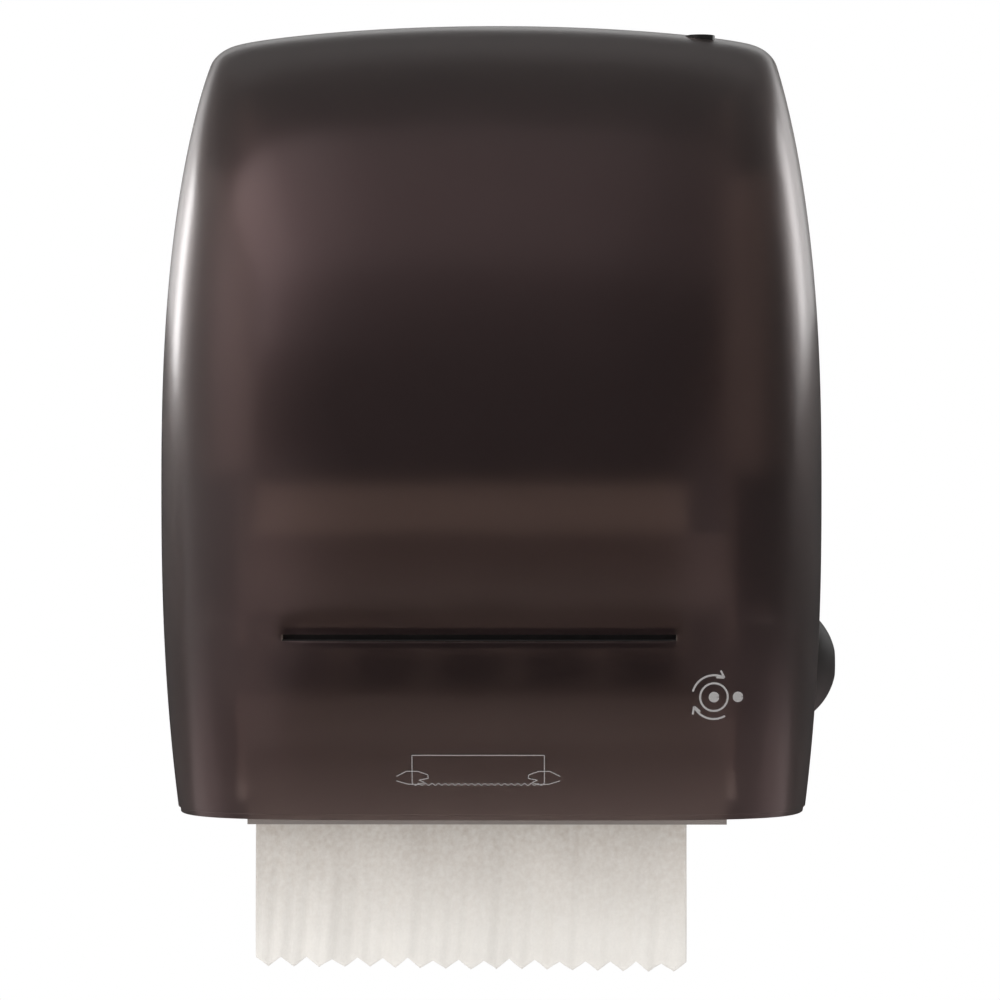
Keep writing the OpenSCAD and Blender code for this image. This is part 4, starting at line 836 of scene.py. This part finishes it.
zinc = brushed_steel("zinc_plate", (0.5, 0.5, 0.48), 0.36, (1.0, 1.0, 1.0))
for node, axis, facing in (("side_plate_screws", 1, -1), ("striker_screws", 1, -1), ("housing_screws", 0, 1)):
    boxes = separate_boxes(node)
    places = [(low + high) / 2 for low, high in boxes]
    low, high = boxes[0]
    length, head_r = high[axis] - low[axis], (high[2] - low[2]) / 2
    for place, (low, high) in zip(places, boxes):
        place[axis] = (high if facing > 0 else low)[axis] - facing * HEAD_H
    pattern = cross_screw("screw_pattern", head_r, length - HEAD_H)
    screws = add_piece("cross_" + node, places, [], None, None)
    grow(screws, screw_tree, {"Screw": pattern, "Facing": [facing if k == axis else 0.0 for k in range(3)],
                              "Finish": zinc.material})
    bpy.data.objects.remove(pattern)
    settle(screws, "housing", SCREW_SHARP)
    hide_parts(node)


# Studio: a pale floor and a white world, soft lamps above and at both sides, and cards of
# several greys all round that only the gloss and the see-through walls show, as a
# photographer sets them round a shiny dark object.
def looked_at(tree):
    """1 where the camera, a reflection or a see-through surface looks, and 0 for light that falls."""
    path = tree.nodes.new("ShaderNodeLightPath")
    total = path.outputs["Is Camera Ray"]
    for operation, kind in (("MAXIMUM", "Is Glossy Ray"), ("MAXIMUM", "Is Transmission Ray"),
                            ("SUBTRACT", "Diffuse Depth")):
        more = tree.nodes.new("ShaderNodeMath")
        more.operation = operation
        more.use_clamp = True
        tree.links.new(total, more.inputs[0])
        tree.links.new(path.outputs[kind], more.inputs[1])
        total = more.outputs[0]
    return total


world = bpy.data.worlds.new("studio")
bpy.context.scene.world = world
world.use_nodes = True
sky = world.node_tree
LIGHT_FROM, DIM, BRIGHT = (-0.62, -0.45, 0.64), 0.35, 1.45
sky_side = sky.nodes.new("ShaderNodeVectorMath")
sky_side.operation = "DOT_PRODUCT"
sky_side.inputs[1].default_value = LIGHT_FROM
sky.links.new(sky.nodes.new("ShaderNodeTexCoord").outputs["Generated"], sky_side.inputs[0])
sky_soft = sky.nodes.new("ShaderNodeMapRange")
for socket, value in (("From Min", -1.0), ("To Min", DIM), ("To Max", BRIGHT)):
    sky_soft.inputs[socket].default_value = value
sky.links.new(sky_side.outputs["Value"], sky_soft.inputs["Value"])
sky_level = sky.nodes.new("ShaderNodeMix")
sky.links.new(looked_at(sky), sky_level.inputs[0])
sky.links.new(sky_soft.outputs[0], sky_level.inputs[2])
sky_level.inputs[3].default_value = 1.0
sky.links.new(sky_level.outputs[0], sky.nodes["Background"].inputs["Strength"])
sky.nodes["Background"].inputs["Color"].default_value = (1.0, 1.0, 1.0, 1.0)


def card(name, corners, finish):
    piece = add_piece(name, corners, [(0, 1, 2, 3)], None, finish)
    return piece


def lying(x0, x1, y0, y1, z):
    return [(x0, y0, z), (x1, y0, z), (x1, y1, z), (x0, y1, z)]


def standing(x0, x1, z0, z1, y):
    return [(x0, y, z0), (x1, y, z0), (x1, y, z1), (x0, y, z1)]


def overlay(finish, share, other):
    """Shows the other shader over the finish's own, by the share."""
    mixed = finish.node("ShaderNodeMixShader", {}, {0: share, 2: other})
    finish.tree.links.new(finish.shader.outputs[0], mixed.output.node.inputs[1])
    finish.feed(finish.tree.nodes["Material Output"].inputs["Surface"], mixed)


FLOOR_LEVEL, FLOOR_HALF, FLOOR_GLOW = -0.55, 2.0, 0.55
floor_white = Finish("floor_white", Base_Color=(0.92, 0.92, 0.92, 1.0), Roughness=0.9)
floor_looked_at = Socket(floor_white, looked_at(floor_white.tree))
overlay(floor_white, floor_looked_at * FLOOR_GLOW, floor_white.node("ShaderNodeEmission"))
card("studio_floor", lying(-FLOOR_HALF, FLOOR_HALF, -FLOOR_HALF, FLOOR_HALF, FLOOR_LEVEL), floor_white)


def flag(name, corners, level, warmth=1.0):
    """A card as grey as its level, for gloss and see-through walls; light that falls passes it."""
    finish = Finish(name, Base_Color=(0.0, 0.0, 0.0, 1.0), Specular_IOR_Level=0.0, Roughness=1.0,
                    Emission_Color=(level, level * warmth, level * warmth, 1.0), Emission_Strength=1.0)
    falling = finish.node("ShaderNodeLightPath", output="Diffuse Depth") > 0.5
    overlay(finish, falling, finish.node("ShaderNodeBsdfTransparent"))
    piece = card(name, corners, finish)
    for way in ("camera", "diffuse", "volume_scatter", "shadow"):
        setattr(piece, "visible_" + way, False)


FRONT_Y, TOP_Z, TOP_BACK, LOW_Z, CARD_WARMTH = -2.9, 2.0, -0.4, -0.54, 0.85
# Cards standing in front: left, right, lower and upper edge, and how bright each is
for name, x0, x1, z0, z1, level in (
        ("front_low_card", -7.0, 7.0, -4.5, -0.6, 0.03), ("front_foot_card", -0.4, 0.9, -0.6, 0.1, 0.01),
        ("front_card", -0.4, 7.0, 0.1, 1.0, 0.01), ("front_top_card", -0.4, 7.0, 1.0, TOP_Z, 0.035),
        ("left_bounce_card", -7.0, -0.9, -0.6, 0.1, 0.62), ("left_bounce_edge", -0.9, -0.4, -0.6, 0.1, 0.25),
        ("right_bounce_card", 0.9, 7.0, -0.6, 0.1, 0.55),
        ("left_dark_card", -7.0, -1.5, 0.1, 1.0, 0.05), ("left_dark_edge", -1.5, -0.4, 0.1, 1.0, 0.03),
        ("left_bright_card", -7.0, -1.5, 1.0, TOP_Z, 1.4), ("left_bright_middle", -1.5, -0.9, 1.0, TOP_Z, 0.75),
        ("left_bright_edge", -0.9, -0.4, 1.0, TOP_Z, 0.4)):
    flag(name, standing(x0, x1, z0, z1, FRONT_Y), level, CARD_WARMTH)
# Cards lying above
for name, x0, x1, level in (("top_bright_card", -7.0, -1.0, 1.9), ("top_bright_edge", -1.0, -0.35, 1.0),
                            ("top_card", -0.35, 0.35, 0.42), ("top_right_card", 0.35, 3.0, 0.22)):
    flag(name, lying(x0, x1, FRONT_Y, TOP_BACK, TOP_Z), level, CARD_WARMTH)
# Cards behind: a sloping one above, and a small one that the part itself hides from the camera
WIDE, SLOPE_BACK, SLOPE_LOW, REAR_HALF, REAR_Y, REAR_LOW = 3.0, 2.5, 1.2, 0.36, 0.6, -0.9
flag("rear_top_card", [(-WIDE, TOP_BACK, TOP_Z), (WIDE, TOP_BACK, TOP_Z), (WIDE, SLOPE_BACK, SLOPE_LOW),
                       (-WIDE, SLOPE_BACK, SLOPE_LOW)], 0.1)
flag("rear_card", standing(-REAR_HALF, REAR_HALF, REAR_LOW, REAR_HALF, REAR_Y), 0.02)
# Cards lying just over the floor, and those at both sides
for name, x0, x1, y0, y1, level in (
        ("low_card", -0.5, 0.5, FRONT_Y, -0.85, 0.02), ("low_near_card", -WIDE, WIDE, -0.85, -0.3, 0.45),
        ("low_left_card", -WIDE, -0.5, FRONT_Y, -0.85, 0.6), ("low_right_card", 0.5, WIDE, FRONT_Y, -0.85, 0.35)):
    flag(name, lying(x0, x1, y0, y1, LOW_Z), level, CARD_WARMTH)
SIDE_X, SIDE_BACK, SIDE_FOOT, SIDE_STEP = 2.2, 1.0, -1.5, 0.1
FLOOR_CARD_IN, FLOOR_CARD_FRONT, FLOOR_CARD_WARMTH = 0.2, -0.3, 0.82
for side, name, level in ((-1, "left", 0.42), (1, "right", 0.1)):
    side_x, rear_x = side * SIDE_X, side * REAR_HALF
    flag(name + "_card", [(side_x, FRONT_Y, SIDE_FOOT), (side_x, SIDE_BACK, SIDE_FOOT), (side_x, SIDE_BACK, TOP_Z),
                          (side_x, FRONT_Y, TOP_Z)], level)
    flag(name + "_low_card", [(rear_x, REAR_Y, SIDE_FOOT), (side_x, SIDE_BACK, SIDE_FOOT),
                              (side_x, SIDE_BACK, SIDE_STEP), (rear_x, REAR_Y, SIDE_STEP)], 0.05)
    flag(name + "_floor_card", lying(side * FLOOR_CARD_IN, side * WIDE, FLOOR_CARD_FRONT, SIDE_BACK, LOW_Z), 0.7,
         FLOOR_CARD_WARMTH)


def lamp(name, place, aim, size, power):
    data = bpy.data.lights.new(name, "AREA")
    data.shape = "RECTANGLE"
    data.size, data.size_y = size
    data.energy = power
    item = bpy.data.objects.new(name, data)
    item.location = place
    item.rotation_euler = (Vector(aim) - Vector(place)).to_track_quat("-Z", "Y").to_euler()
    bpy.context.scene.collection.objects.link(item)


lamp("top_lamp", (0.0, 0.9, 1.3), (0.0, -0.1, 0.15), (1.6, 0.5), 0.2)
lamp("left_strip", (-0.95, 0.75, 0.28), (-0.1, -0.1, 0.1), (0.24, 0.36), 1.5)
lamp("right_strip", (0.95, 0.75, 0.4), (0.1, -0.1, 0.1), (0.28, 0.5), 1.2)

# Camera: far in front and a little to the right, with a long lens, level with the lower
# third of the body.
CAMERA_AT, CAMERA_AIM, LENS = (0.0355, -2.3177, -0.0612), (0.0, -0.1, -0.0612), 169.4
SHIFT, SENSOR, FAR = (0.0074, 0.0414), 36.0, 50.0
camera_data = bpy.data.cameras.new("camera")
camera_data.lens = LENS
camera_data.sensor_width = SENSOR
camera_data.shift_x, camera_data.shift_y = SHIFT
camera_data.clip_end = FAR
camera = bpy.data.objects.new("camera", camera_data)
camera.location = CAMERA_AT
camera.rotation_euler = (Vector(CAMERA_AIM) - Vector(CAMERA_AT)).to_track_quat("-Z", "Y").to_euler()
bpy.context.scene.collection.objects.link(camera)
bpy.context.scene.camera = camera
bpy.context.scene.view_settings.view_transform = "Standard"

bpy.context.view_layer.update()
